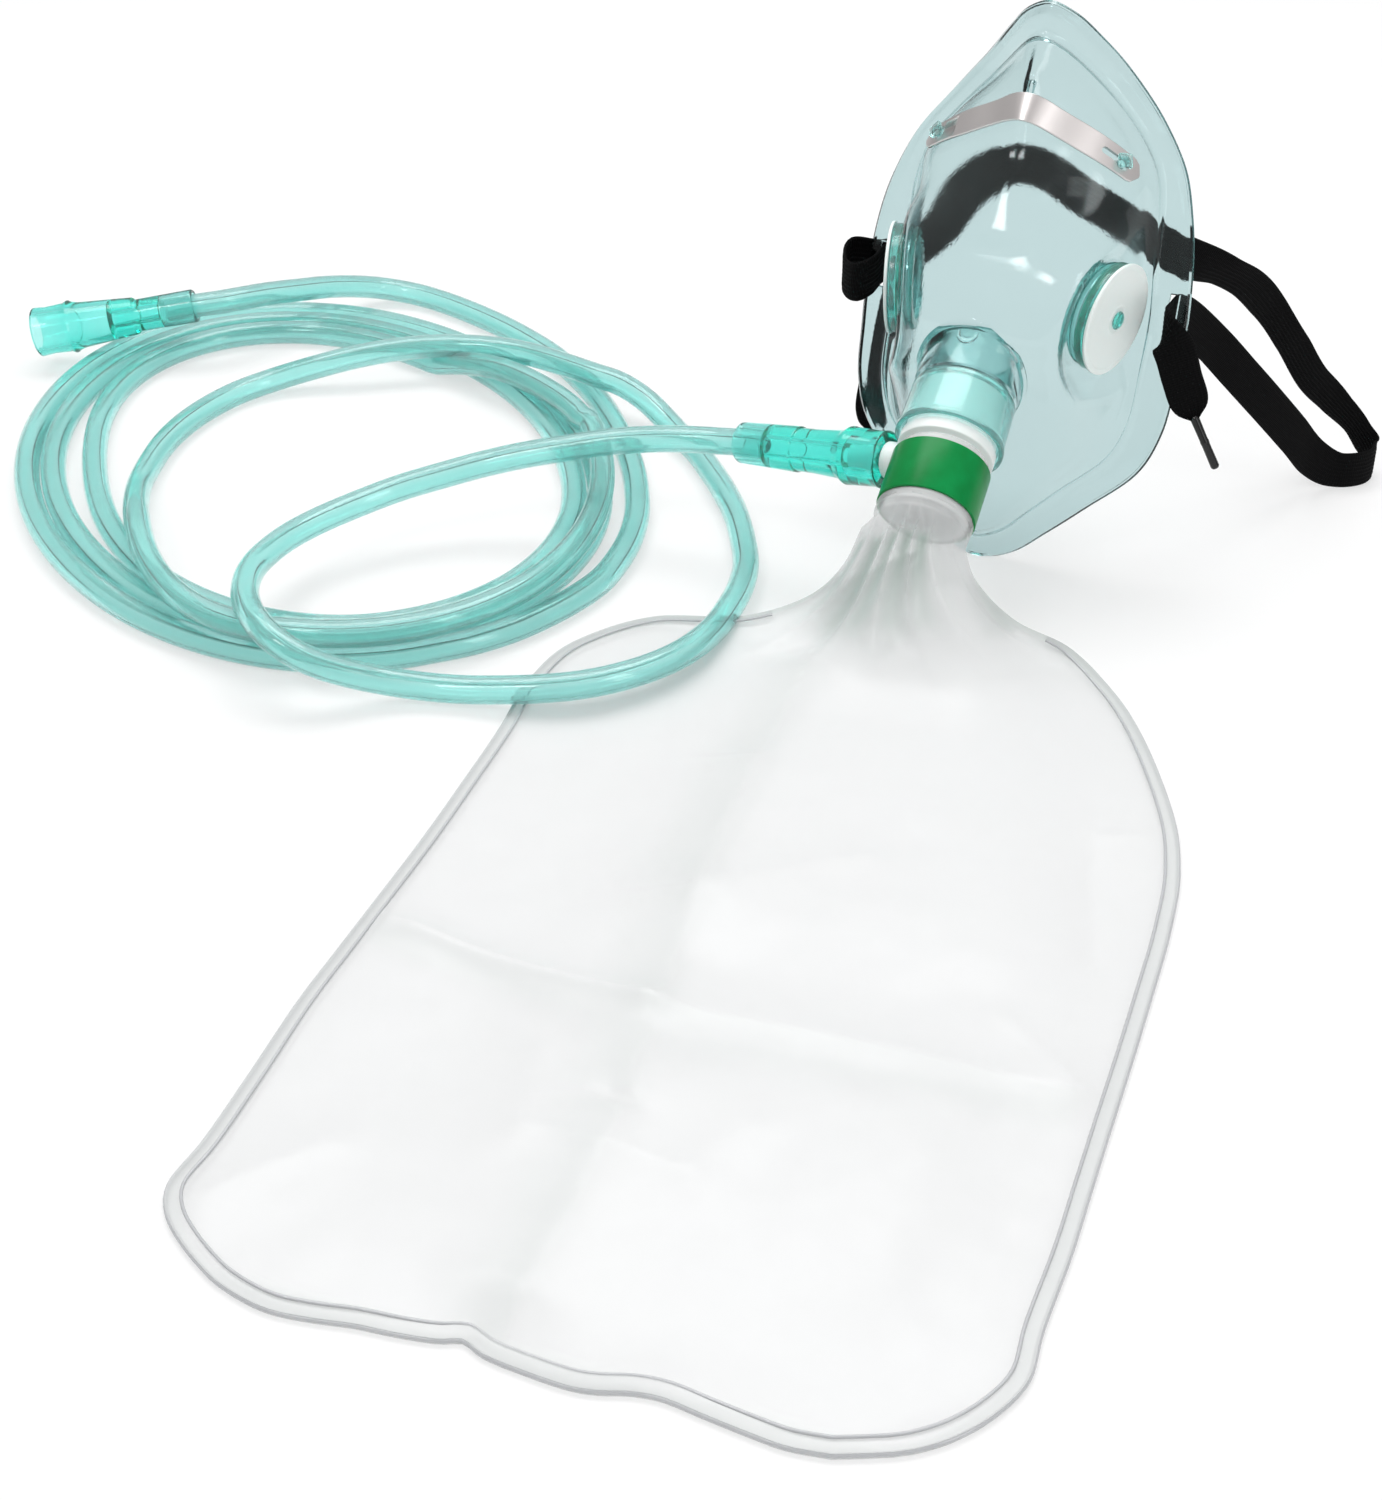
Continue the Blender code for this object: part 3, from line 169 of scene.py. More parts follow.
FACE = (0.9, 0.44, 0.0)
UP = (0.0, 0.0, 1.0)
BACK = (0.25, -0.5, 1.0)
STRAP = (
    # x, y, z, direction that the width follows, width share
    (48.2, 12.0, 43.6, FACE, 0.24), (47.4, 12.0, 45.4, FACE, 0.7), (46.5, 12.0, 47.6, FACE, 0.92),
    (43.9, 12.0, 53.5, FACE, 0.96), (41.8, 12.0, 59.0, (0.8, 0.35, 0.5), 0.98),
    (39.6, 12.6, 62.4, (0.3, 0.1, 0.9), 1.0), (37.6, 15.6, 63.6, UP, 1.0),
    (37.2, 20.9, 63.3, UP, 1.0), (37.2, 24.8, 63.1, UP, 1.0), (38.4, 30.4, 60.4, UP, 1.0),
    (43.8, 40.5, 50.4, UP, 1.0), (50.0, 48.0, 40.2, UP, 1.0), (56.4, 55.5, 29.8, UP, 1.0),
    (62.4, 63.5, 19.2, UP, 1.0), (67.2, 71.0, 9.8, UP, 1.0), (72.0, 75.4, 5.6, UP, 1.0),
    (77.2, 78.4, 5.3, UP, 1.0), (80.2, 83.6, 5.3, UP, 1.0), (78.6, 89.4, 6.2, UP, 1.0),
    (74.0, 90.6, 11.4, BACK, 1.0), (67.6, 87.0, 19.0, BACK, 1.0), (61.6, 80.0, 28.6, BACK, 1.0),
    (56.4, 74.0, 39.6, BACK, 1.0), (50.9, 68.0, 50.0, BACK, 1.0), (46.4, 60.6, 58.6, BACK, 1.0),
    (41.6, 53.0, 64.2, BACK, 1.0), (34.8, 43.0, 70.2, UP, 1.0), (28.0, 38.0, 74.4, UP, 1.0),
    (18.3, 36.0, 79.6, UP, 1.0), (8.0, 35.0, 84.6, UP, 1.0), (-2.7, 35.0, 89.6, UP, 1.0),
    (-11.3, 35.0, 89.0, UP, 1.0), (-19.9, 35.0, 82.0, UP, 1.0), (-27.4, 34.0, 70.6, UP, 1.0),
    (-34.6, 32.0, 62.9, UP, 1.0), (-42.2, 28.0, 61.9, UP, 1.0), (-46.2, 22.0, 63.6, UP, 1.0),
    (-44.4, 15.2, 61.4, UP, 1.0), (-40.4, 12.4, 61.6, UP, 1.0), (-37.6, 15.4, 62.6, UP, 1.0),
    (-37.2, 20.9, 63.3, UP, 1.0), (-37.2, 24.6, 63.2, UP, 1.0),
    (-36.8, 28.4, 62.2, (0.45, 0.0, 1.0), 1.0), (-36.2, 31.8, 59.8, (0.9, 0.0, 0.5), 1.0),
    (-35.9, 33.8, 55.6, (1.0, 0.1, 0.1), 1.0), (-36.2, 34.0, 50.4, (1.0, 0.2, 0.0), 1.0),
    (-37.4, 32.8, 43.0, FACE, 1.0), (-38.8, 31.4, 34.0, FACE, 1.0), (-40.2, 30.0, 25.0, FACE, 1.0),
    (-40.6, 29.4, 18.6, FACE, 0.94), (-40.0, 29.4, 15.0, FACE, 0.7),
    (-39.6, 29.4, 12.8, FACE, 0.24),
)
STRAP_TIPS = {
    "right": ((47.9, 12.0, 44.3), (54.9, 12.0, 31.9)),
    "left": ((-39.4, 29.4, 12.0), (-37.4, 27.6, 1.9)),
}

# where the bag's weld lines start, as a row of its loops
WELD_FROM = 17
# where its foot begins to follow BAG_FOOT
FOOT_FROM = 256.0
# the bag in its own plane, s from the neck to the foot and t across
BAG_NECK = (-7.3, -7.4)
BAG_TURN = 7.15
BAG_ROWS = (
    # s and t mid, s and t left, s and t right, top mid, underside mid, edge top, edge low, lean;
    # where film lies flat on film, only the top is given and FLAT_EDGE follows
    (47.2, 4.9, 46.6, -8.4, 46.4, 16.2, 41.4, 22.4, 31.4, 30.2, 0.48),
    (52.4, 4.2, 48.6, -12.0, 46.0, 19.2, 35.8, 16.6, 22.6, 20.8, 0.34),
    (58.2, 3.6, 46.8, -20.4, 41.8, 27.6, 27.0, 9.0, 12.2, 10.6, 0.2),
    (65.0, 3.2, 49.6, -35.2, 38.4, 40.4, 18.0, 3.0, 5.8, 4.2, 0.1),
    (73.0, 3.0, 51.4, -56.6, 47.0, 52.0, 11.6, 0.4, 2.8, 1.3, 0.0),
    (84.0, 3.0, 65.7, -71.6, 62.0, 62.2, 8.4), (98.0, 3.0, 85.0, -75.9, 90.0, 74.0, 7.2),
    (113.0, 2.8, 106.0, -74.6, 110.0, 78.8, 6.8), (131.0, 2.9, 129.0, -74.1, 129.8, 80.2, 6.6),
    (154.0, 3.0, 152.0, -73.9, 153.0, 80.2, 6.2), (177.0, 2.8, 177.0, -74.4, 176.0, 79.9, 4.6),
    (190.0, 2.6, 190.0, -74.7, 190.0, 79.6, 5.2), (208.0, 2.4, 206.0, -75.0, 207.0, 79.3, 6.0),
    (230.0, 2.1, 228.0, -74.2, 224.0, 79.0, 5.6), (250.0, 2.0, 247.0, -73.8, 242.0, 78.0, 4.6),
    (260.0, 2.2, 258.6, -74.3, 253.0, 78.0, 3.6), (266.0, 2.2, 265.0, -70.8, 260.0, 75.2, 3.1),
    (270.4, 1.8, 269.8, -65.4, 265.6, 71.4, 2.6), (273.4, 1.3, 273.4, -60.0, 270.0, 67.0, 2.2),
    (275.6, 0.8, 275.8, -55.6, 273.6, 61.4, 1.9), (277.3, 0.2, 277.4, -51.0, 277.2, 52.2, 1.5),
)
FLAT_EDGE = (0.1, 1.5, 0.1, 0.0)
# how far the foot's edge stands beyond the last row, by t
BAG_FOOT = (
    (-51.0, 0.0), (-46.7, 1.0), (-42.8, 1.3), (-36.2, 0.7), (-29.8, -0.3), (-21.3, -0.9),
    (-14.6, -1.9), (-11.3, -3.1), (-7.5, -1.4), (0.2, -0.2), (9.4, 0.4), (13.7, -0.3),
    (18.4, -1.7), (23.5, -2.2), (30.8, -1.1), (39.1, 0.1), (45.1, 0.7), (52.2, 0.0),
)
# creases of the film: from s, t to s, t, height, half width
FOLDS = (
    (61, -13.4, 106, -13.5, 2.2, 10.0), (106, -13.5, 156, -10.4, 2.4, 12.0),
    (156, -10.4, 215, -3.0, 2.2, 11.0), (219, -3.0, 276, -4.0, 2.2, 10.0),
    (177, -76, 191, -9, 3.0, 3.4), (191, -9, 184, 73, 1.6, 8.0),
    (43, 24, 93, 57, -1.5, 8.0), (93, 57, 146, 68, -1.6, 6.0),
    (152, -6, 133, 18, 0.8, 3.0), (61, -13, 76, -46, 1.3, 7.0),
    (217, -7, 219, -3, -2.6, 3.5), (207, -24, 229, -20, 1.0, 4.0), (228, -18, 231, 12, 1.1, 5.0),
    (231, 12, 216, 20, 0.9, 5.0), (262, -70, 240, -52, 1.2, 5.0), (99, 75, 104, 62, 1.2, 2.5),
    (184, 73, 170, 56, 1.2, 5.0),
)
# painted shade patches on the film, which also make it more opaque: s, t, half lengths along s and
# t, strength
SHADE_PATCHES = (
    (54.0, -6.5, 4.0, 6.0, 0.30), (43.5, 22.0, 4.0, 8.0, 0.42), (41.0, -18.0, 4.0, 10.0, 0.55),
    (33.0, 19.0, 5.0, 7.0, 0.5),
)

CAMERA_AT = (167.2, -506.5, 302.2)
CAMERA_TILT = 55.62
CAMERA_TURN = 26.0


# points and curves

def smooth(a, b, x):
    """0 at a and 1 at b, with soft ends."""
    x = min(max((x - a) / (b - a), 0.0), 1.0)
    return x * x * (3 - 2 * x)


def read_rows(rows, x):
    """The values of a table at x, by straight lines between its rows."""
    rows = sorted(rows)
    if x <= rows[0][0]:
        return rows[0][1:]
    for a, b in zip(rows, rows[1:]):
        if x <= b[0]:
            k = (x - a[0]) / (b[0] - a[0])
            return tuple(p + (q - p) * k for p, q in zip(a[1:], b[1:]))
    return rows[-1][1:]


def through(points, per=12):
    """Centripetal curve through the points, as a dense polyline."""
    pts = [tuple(float(c) for c in p) for p in points]
    first = tuple(2 * a - b for a, b in zip(pts[0], pts[1]))
    last = tuple(2 * a - b for a, b in zip(pts[-1], pts[-2]))
    pts = [first] + pts + [last]
    out = []
    for i in range(1, len(pts) - 2):
        p0, p1, p2, p3 = pts[i - 1:i + 3]
        knots = [0.0]
        for a, b in ((p0, p1), (p1, p2), (p2, p3)):
            knots.append(knots[-1] + max(math.dist(a[:3], b[:3]) ** 0.5, 1e-6))
        t0, t1, t2, t3 = knots

        def mix(a, b, ta, tb, t):
            return [(x * (tb - t) + y * (t - ta)) / (tb - ta) for x, y in zip(a, b)]

        for k in range(per):
            t = t1 + (t2 - t1) * k / per
            a1 = mix(p0, p1, t0, t1, t)
            a2 = mix(p1, p2, t1, t2, t)
            a3 = mix(p2, p3, t2, t3, t)
            out.append(tuple(mix(mix(a1, a2, t0, t2, t), mix(a2, a3, t1, t3, t), t1, t2, t)))
    out.append(pts[-2])
    return out


def spaced(line, count):
    """The line again as a count of points at even distances."""
    run = [0.0]
    for a, b in zip(line, line[1:]):
        run.append(run[-1] + math.dist(a[:3], b[:3]))
    out = []
    j = 0
    for i in range(count):
        want = run[-1] * i / (count - 1)
        while j < len(line) - 2 and run[j + 1] < want:
            j += 1
        k = (want - run[j]) / max(run[j + 1] - run[j], 1e-9)
        out.append(tuple(a + (b - a) * k for a, b in zip(line[j], line[j + 1])))
    return out


def sided(p, side):
    """The place as a vector, mirrored for side -1."""
    return Vector((side * p[0], p[1], p[2]))


def run_of(line):
    return sum(math.dist(a[:3], b[:3]) for a, b in zip(line, line[1:]))


def pose(origin, z_dir, x_hint=(1, 0, 0)):
    """A place in metres from an origin in millimetres, its z axis and a hint for its x axis."""
    z = Vector(z_dir).normalized()
    x = Vector(x_hint)
    x = (x - z * x.dot(z)).normalized()
    rot = Matrix((x, z.cross(x), z)).transposed().to_4x4()
    return Matrix.Translation(Vector(origin) * MM) @ rot


def rounded(profile, radius, steps=3, closed=True):
    """The profile with its corners turned into short arcs."""
    out = []
    n = len(profile)
    for i, p in enumerate(profile):
        b = Vector(p)
        if p[0] == 0 or (not closed and i in (0, n - 1)):
            out.append(tuple(p))
            continue
        u = Vector(profile[i - 1]) - b
        v = Vector(profile[(i + 1) % n]) - b
        if u.length < 1e-6 or v.length < 1e-6 or u.angle(v) > 2.95:
            out.append(tuple(p))
            continue
        cut = min(radius, 0.42 * u.length, 0.42 * v.length)
        a = b + u.normalized() * cut
        c = b + v.normalized() * cut
        for k in range(steps + 1):
            t = k / steps
            out.append(tuple(a * (1 - t) ** 2 + b * 2 * t * (1 - t) + c * t * t))
    return out


# meshes

def put(name, data):
    """A new object of the scene."""
    obj = bpy.data.objects.new(name, data)
    bpy.context.scene.collection.objects.link(obj)
    return obj


def solid(name, verts, faces, where=WORLD, mat=None, sharp=35.0):
    """A closed piece with its place in its mesh and its faces outward."""
    mesh = bpy.data.meshes.new(name)
    mesh.from_pydata([where @ (Vector(v) * MM) for v in verts], [], faces)
    bm = bmesh.new()
    bm.from_mesh(mesh)
    bmesh.ops.remove_doubles(bm, verts=bm.verts, dist=1e-6)
    bmesh.ops.recalc_face_normals(bm, faces=bm.faces)
    if bm.calc_volume(signed=True) < 0:
        bmesh.ops.reverse_faces(bm, faces=bm.faces)
    bm.to_mesh(mesh)
    bm.free()
    obj = put(name, mesh)
    if mat:
        mesh.materials.append(mat)
    shade(obj, sharp)
    return obj


def shade(obj, sharp=35.0):
    obj.data.shade_smooth()
    obj.data.set_sharp_from_angle(angle=math.radians(sharp))


def rings(loops, closed=True, caps=True):
    """Vertices and faces of a skin over loops of equal length."""
    n = len(loops[0])
    verts = [tuple(p) for loop in loops for p in loop]
    faces = []
    span = n if closed else n - 1
    for i in range(len(loops) - 1):
        for k in range(span):
            a = i * n + k
            b = i * n + (k + 1) % n
            faces.append((a, b, b + n, a + n))
    if caps:
        faces.append(tuple(range(n))[::-1])
        faces.append(tuple((len(loops) - 1) * n + k for k in range(n)))
    return verts, faces


def lathe_mesh(profile, steps=96, closed=True):
    verts = []
    index = []
    for r, z in profile:
        if r < 1e-6:
            index.append([len(verts)] * steps)
            verts.append((0, 0, z))
            continue
        index.append(list(range(len(verts), len(verts) + steps)))
        for k in range(steps):
            a = math.tau * k / steps
            verts.append((r * math.cos(a), r * math.sin(a), z))
    faces = []
    n = len(profile)
    for i in range(n if closed else n - 1):
        p = index[i]
        q = index[(i + 1) % n]
        for k in range(steps):
            m = (k + 1) % steps
            face = []
            for v in (p[k], p[m], q[m], q[k]):
                if v not in face:
                    face.append(v)
            if len(face) > 2:
                faces.append(tuple(face))
    return verts, faces


def turned(name, profile, where, mat, steps=96, closed=True, corner=0.25, sharp=40.0):
    verts, faces = lathe_mesh(rounded(profile, corner, 3, closed), steps, closed)
    return solid(name, verts, faces, where, mat, sharp)


def rod(name, radius, low, high, where, steps=64):
    verts, faces = lathe_mesh([(0, high), (radius, high), (radius, low), (0, low)], steps, False)
    return solid(name, verts, faces, where)


def block(name, size, where):
    x, y, z = (c / 2 for c in size)
    verts = [(sx * x, sy * y, sz * z) for sx in (-1, 1) for sy in (-1, 1) for sz in (-1, 1)]
    faces = [(0, 1, 3, 2), (4, 6, 7, 5), (0, 4, 5, 1), (2, 3, 7, 6), (0, 2, 6, 4), (1, 5, 7, 3)]
    return solid(name, verts, faces, where)


def join(name, objs):
    bm = bmesh.new()
    for obj in objs:
        bm.from_mesh(obj.data)
    mesh = bpy.data.meshes.new(name)
    bm.to_mesh(mesh)
    bm.free()
    for obj in objs:
        bpy.data.objects.remove(obj)
    return put(name, mesh)


def repaint(obj, mat, sharp):
    """One material again on a piece that was cut, and its edges shaded anew."""
    obj.data.materials.clear()
    obj.data.materials.append(mat)
    shade(obj, sharp)


def plain(obj):
    """The object's evaluated mesh takes the place of its mesh and modifiers."""
    graph = bpy.context.evaluated_depsgraph_get()
    mesh = bpy.data.meshes.new_from_object(obj.evaluated_get(graph))
    obj.modifiers.clear()
    old = obj.data
    obj.data = mesh
    if isinstance(old, bpy.types.Mesh):
        bpy.data.meshes.remove(old)
    return obj


def carve(obj, tool, operation="DIFFERENCE"):
    mod = obj.modifiers.new(operation, "BOOLEAN")
    mod.operation = operation
    mod.solver = "EXACT"
    mod.object = tool
    plain(obj)
    bpy.data.objects.remove(tool)
    return obj


def dress(obj, slot, *nodes):
    """The piece rides on the one body and takes the place of its frame nodes."""
    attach(obj, "root")
    if nodes:
        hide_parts(*nodes)
    return obj


# materials

def shader(name, colour, rough, **values):
    mat = bpy.data.materials.new(name)
    mat.use_nodes = True
    node = mat.node_tree.nodes["Principled BSDF"]
    node.inputs["Base Color"].default_value = (*colour, 1.0)
    node.inputs["Roughness"].default_value = rough
    for key, value in values.items():
        node.inputs[key.replace("_", " ")].default_value = value
    return mat, node


def node_of(mat, kind, **sockets):
    node = mat.node_tree.nodes.new(kind)
    for key, value in sockets.items():
        node.inputs[key.replace("_", " ")].default_value = value
    return node


def link(mat, a, b):
    mat.node_tree.links.new(a, b)


def coords_of(mat, kind="Object", scale=(1, 1, 1)):
    coords = mat.node_tree.nodes.new("ShaderNodeTexCoord")
    mapping = mat.node_tree.nodes.new("ShaderNodeMapping")
    mapping.inputs["Scale"].default_value = scale
    link(mat, coords.outputs[kind], mapping.inputs["Vector"])
    return mapping.outputs["Vector"]


def noise_of(mat, coords, scale, detail):
    tex = node_of(mat, "ShaderNodeTexNoise", Scale=scale, Detail=detail)
    link(mat, coords, tex.inputs["Vector"])
    return tex.outputs["Fac"]


def bump_of(mat, height, strength, distance):
    bump = node_of(mat, "ShaderNodeBump", Strength=strength, Distance=distance)
    link(mat, height, bump.inputs["Height"])
    return bump


def spread(mat, factor, low, high, socket):
    """Feeds the socket with the factor, spread from low to high."""
    span = node_of(mat, "ShaderNodeMapRange", To_Min=low, To_Max=high)
    link(mat, factor, span.inputs["Value"])
    link(mat, span.outputs["Result"], socket)


def ramp(mat, factor, stops):
    node = mat.node_tree.nodes.new("ShaderNodeValToRGB")
    elements = node.color_ramp.elements
    while len(elements) < len(stops):
        elements.new(0.5)
    for element, (at, colour) in zip(elements, stops):
        element.position = at
        element.color = (*colour, 1.0)
    link(mat, factor, node.inputs["Fac"])
    return node.outputs["Color"]


def grain(mat, node, coords, scale, strength, distance, detail, low, high):
    """Fine noise on the surface, as bump and as roughness from low to high."""
    fine = noise_of(mat, coords, scale, detail)
    bump = bump_of(mat, fine, strength, distance)
    link(mat, bump.outputs["Normal"], node.inputs["Normal"])
    spread(mat, fine, low, high, node.inputs["Roughness"])
    return fine


def absorb(mat, colour, density):
    node = node_of(mat, "ShaderNodeVolumeAbsorption", Density=density)
    node.inputs["Color"].default_value = (*colour, 1.0)
    out = mat.node_tree.nodes["Material Output"]
    link(mat, node.outputs["Volume"], out.inputs["Volume"])


def clear_pvc(settings):
    mat, node = shader("clear_pvc", settings.vinyl, 0.06, Transmission_Weight=1.0, IOR=1.4)
    coords = coords_of(mat)
    fine = noise_of(mat, coords, 1500.0, 3.0)
    wavy = noise_of(mat, coords, 42.0, 2.0)
    soft = bump_of(mat, wavy, 0.12, 0.002)
    grit = bump_of(mat, fine, 0.10, 0.0002)
    link(mat, soft.outputs["Normal"], grit.inputs["Normal"])
    link(mat, grit.outputs["Normal"], node.inputs["Normal"])
    spread(mat, wavy, 0.02, 0.12, node.inputs["Roughness"])
    absorb(mat, (0.50, 0.80, 0.79), settings.depth_tint)
    return mat


def teal_clear(name, colour, density, rough=0.1, clear=0.88):
    mat, node = shader(name, colour, rough, Transmission_Weight=clear, IOR=1.42)
    grain(mat, node, coords_of(mat), 500.0, 0.05, 0.0003, 3.0, rough * 0.6, rough * 1.5)
    absorb(mat, (0.05, 0.94, 0.89), density)
    return mat


def white_plastic():
    mat, node = shader("white_plastic", (0.92, 0.98, 0.96), 0.35, Subsurface_Weight=0.25)
    node.inputs["Subsurface Radius"].default_value = (0.002, 0.003, 0.003)
    grain(mat, node, coords_of(mat), 700.0, 0.08, 0.0003, 4.0, 0.28, 0.42)
    return mat


def silicone():
    mat, node = shader("white_silicone", (0.90, 0.99, 0.96), 0.45, Subsurface_Weight=0.2)
    node.inputs["Subsurface Radius"].default_value = (0.001, 0.0015, 0.0015)
    grain(mat, node, coords_of(mat), 1500.0, 0.06, 0.0002, 5.0, 0.4, 0.55)
    return mat


def green_film():
    mat, node = shader("green_band", (0.0, 0.24, 0.055), 0.4, Specular_IOR_Level=0.18)
    fine = grain(mat, node, coords_of(mat), 120.0, 0.12, 0.0004, 5.0, 0.24, 0.36)
    greens = ramp(mat, fine, [(0.3, (0.0, 0.19, 0.036)), (0.7, (0.0, 0.27, 0.062))])
    link(mat, greens, node.inputs["Base Color"])
    return mat


def bag_film(settings):
    mat, node = shader("bag_film", settings.colour, 0.34, IOR=1.46, Coat_Weight=0.12,
                       Coat_Roughness=0.14)
    grain(mat, node, coords_of(mat), 260.0, 0.10, 0.0005, 6.0, 0.26, 0.42)
    # painted shade: where the tone attribute is high, the film turns grey-green and more opaque
    tone = mat.node_tree.nodes.new("ShaderNodeAttribute")
    tone.attribute_name = "tone"
    shade_colour = ramp(mat, tone.outputs["Fac"], [(0.0, settings.colour), (1.0, (0.42, 0.52, 0.47))])
    link(mat, shade_colour, node.inputs["Base Color"])
    spread(mat, tone.outputs["Fac"], settings.opacity, 0.9, node.inputs["Alpha"])
    return mat


def seam_film():
    mat, node = shader("bag_weld", (0.60, 0.61, 0.63), 0.16, Alpha=0.8, IOR=1.48, Coat_Weight=0.4)
    grain(mat, node, coords_of(mat), 400.0, 0.12, 0.0003, 4.0, 0.1, 0.22)
    return mat


def satin_metal():
    mat, node = shader("clip_aluminium", (0.72, 0.68, 0.67), 0.34, Metallic=1.0)
    brushed = coords_of(mat, "Object", (60.0, 900.0, 900.0))
    grain(mat, node, brushed, 6.0, 0.10, 0.0002, 5.0, 0.26, 0.42)
    return mat


def elastic():
    mat, node = shader("elastic_black", (0.001, 0.001, 0.0012), 0.8, Specular_IOR_Level=0.12)
    wave = node_of(mat, "ShaderNodeTexWave", Scale=55.0, Distortion=0.6, Detail=1.0)
    wave.wave_type = "BANDS"
    wave.bands_direction = "Y"
    link(mat, coords_of(mat, "UV"), wave.inputs["Vector"])
    blacks = ramp(mat, wave.outputs["Fac"],
                  [(0.2, (0.0004, 0.0004, 0.0005)), (0.9, (0.0022, 0.0022, 0.0026))])
    link(mat, blacks, node.inputs["Base Color"])
    bump = bump_of(mat, wave.outputs["Fac"], 0.5, 0.0002)
    link(mat, bump.outputs["Normal"], node.inputs["Normal"])
    return mat


def aglet_plastic():
    mat, node = shader("aglet_black", (0.002, 0.002, 0.0022), 0.25)
    grain(mat, node, coords_of(mat), 900.0, 0.1, 0.0002, 3.0, 0.16, 0.3)
    return mat


# settings

def size(name, what, default):
    return FloatProperty(name=name, description=what, default=default, unit="LENGTH", precision=5)


def number(name, what, default):
    return FloatProperty(name=name, description=what, default=default)


def whole(name, what, default):
    return IntProperty(name=name, description=what, default=default)


def tint(name, what, default):
    return FloatVectorProperty(name=name, description=what, default=default, size=3,
                               subtype="COLOR")


class MaskSettings(bpy.types.PropertyGroup):
    wall: size("Wall", "Thickness of the shell", 0.0015)
    stations: whole("Stations", "Sections along half the rim", 96)
    vinyl: tint("Tint", "Colour of the clear vinyl", (0.55, 0.69, 0.70))
    depth_tint: number("Depth tint", "How fast thickness turns it teal", 55.0)


class ValveSettings(bpy.types.PropertyGroup):
    flap_radius: size("Flap radius", "Radius of the silicone disc", 0.01345)
    windows: whole("Windows", "Openings in each valve seat", 6)
    window_radius: size("Window radius", "Radius of one opening", 0.003)
    window_ring: size("Window ring", "Radius of the circle that they lie on", 0.007)


class ClipSettings(bpy.types.PropertyGroup):
    width: size("Width", "Width of the nose clip", 0.0065)
    thickness: size("Thickness", "Thickness of the nose clip", 0.0008)
    half_angle: number("Half angle", "How far it wraps, in degrees", 79.0)


class PortSettings(bpy.types.PropertyGroup):
    band_radius: size("Band radius", "Outside radius of the green band", 0.01175)
    teal: tint("Teal", "Tint of the clear connectors", (0.80, 0.99, 0.975))
    pale: tint("Pale", "Tint of the clear collar", (0.84, 0.99, 0.985))


class BagSettings(bpy.types.PropertyGroup):
    colour: tint("Colour", "Colour of the film", (0.86, 0.865, 0.87))
    opacity: number("Opacity", "How much the film hides, from 0 to 1", 0.42)
    bead: size("Bead", "Radius of one weld line of the rim", 0.00045)


class TubingSettings(bpy.types.PropertyGroup):
    outside: size("Outside", "Outside diameter", 0.0067)
    bore: size("Bore", "Mean diameter of the star bore", 0.0040)
    lobes: whole("Lobes", "Points of the star bore", 5)
    pitch: size("Pitch", "Distance between turns of the coil", 0.00685)


class StrapSettings(bpy.types.PropertyGroup):
    width: size("Width", "Width of the elastic", 0.010)
    thickness: size("Thickness", "Thickness of the elastic", 0.0012)
    ribs: whole("Ribs", "Ribs across the width", 9)


class StageSettings(bpy.types.PropertyGroup):
    lens: number("Lens", "Focal length in millimetres", 57.6)
    key: number("Key", "Power of the overhead softbox in watts", 7.0)
    fill: number("Fill", "Power of the side softbox in watts", 2.5)
    front: number("Front", "Power of the front softbox in watts", 3.0)
    sky: number("Sky", "Strength of the room light", 0.62)


# the shell

def valve_seats():
    """Centre and normal of each flat valve seat on the cheeks."""
    return [(sided(VALVE_AT, side), sided(VALVE_NORMAL, side).normalized()) for side in (1, -1)]


def rim_points(stations):
    """Half of the rim, with the curve running on over both ends so that they lie flat."""
    half = [(u, v, w, run, rise) for v, u, w, run, rise in RIM]
    before = (-half[1][0],) + half[1][1:]
    after = (-half[-2][0],) + half[-2][1:]
    return spaced(through([before] + half + [after])[12:-12], stations)


def wall_row(rim, keys, seats):
    """One row of the shell, from a point of the rim over the flange and the wall to the ridge."""
    u, v, w, run, rise = rim
    v_ridge = RIDGE_LOW + (RIDGE_TOP - RIDGE_LOW) * v / RIM[0][0]
    w_ridge = read_rows(RIDGE, v_ridge)[0]
    along = Vector((-u, v_ridge - v))
    reach = along.length
    flat = read_rows(keys, v)
    row = [(0.0, 0.0, 0.0), (run * 0.5, rise * 0.25, 0.0), (run * 0.9, rise * 0.5, 0.0)]
    for x, y in zip(flat[::2], flat[1::2]):
        row.append((run + x * (reach - run), rise + y * (w_ridge - w - rise), 0.0))
    points = []
    for d, h, _, place in through([p + (i,) for i, p in enumerate(row)], 4):
        p = Vector((u + along.x / reach * d, v + along.y / reach * d, w + h))
        for centre, n in seats:
            up = (p - centre).dot(n)
            off = (p - centre - n * up).length
            near = (1.0 - smooth(15.4, 22.0, off)) * (1.0 - smooth(6.0, 10.0, abs(up)))
            p = p - n * up * near * smooth(3.2, 4.0, place)
        points.append(p)
    points[-1].x = 0.0
    return points


def even_nose(grid):
    """Evens out the wall's rows at the nose tip, most at the mid-plane, but not the flange."""
    cols = len(grid[0])
    for _ in range(14):
        for i in range(26):
            share = 0.5 * (1.0 - smooth(12, 25, i))
            fresh = []
            for j in range(cols):
                a = grid[i - 1][j] if i else sided(grid[1][j], -1)
                fresh.append(grid[i][j].lerp((a + grid[i + 1][j]) / 2, share))
            for j in range(3, cols):
                grid[i][j] = grid[i][j].lerp(fresh[j], smooth(2, 8, j))


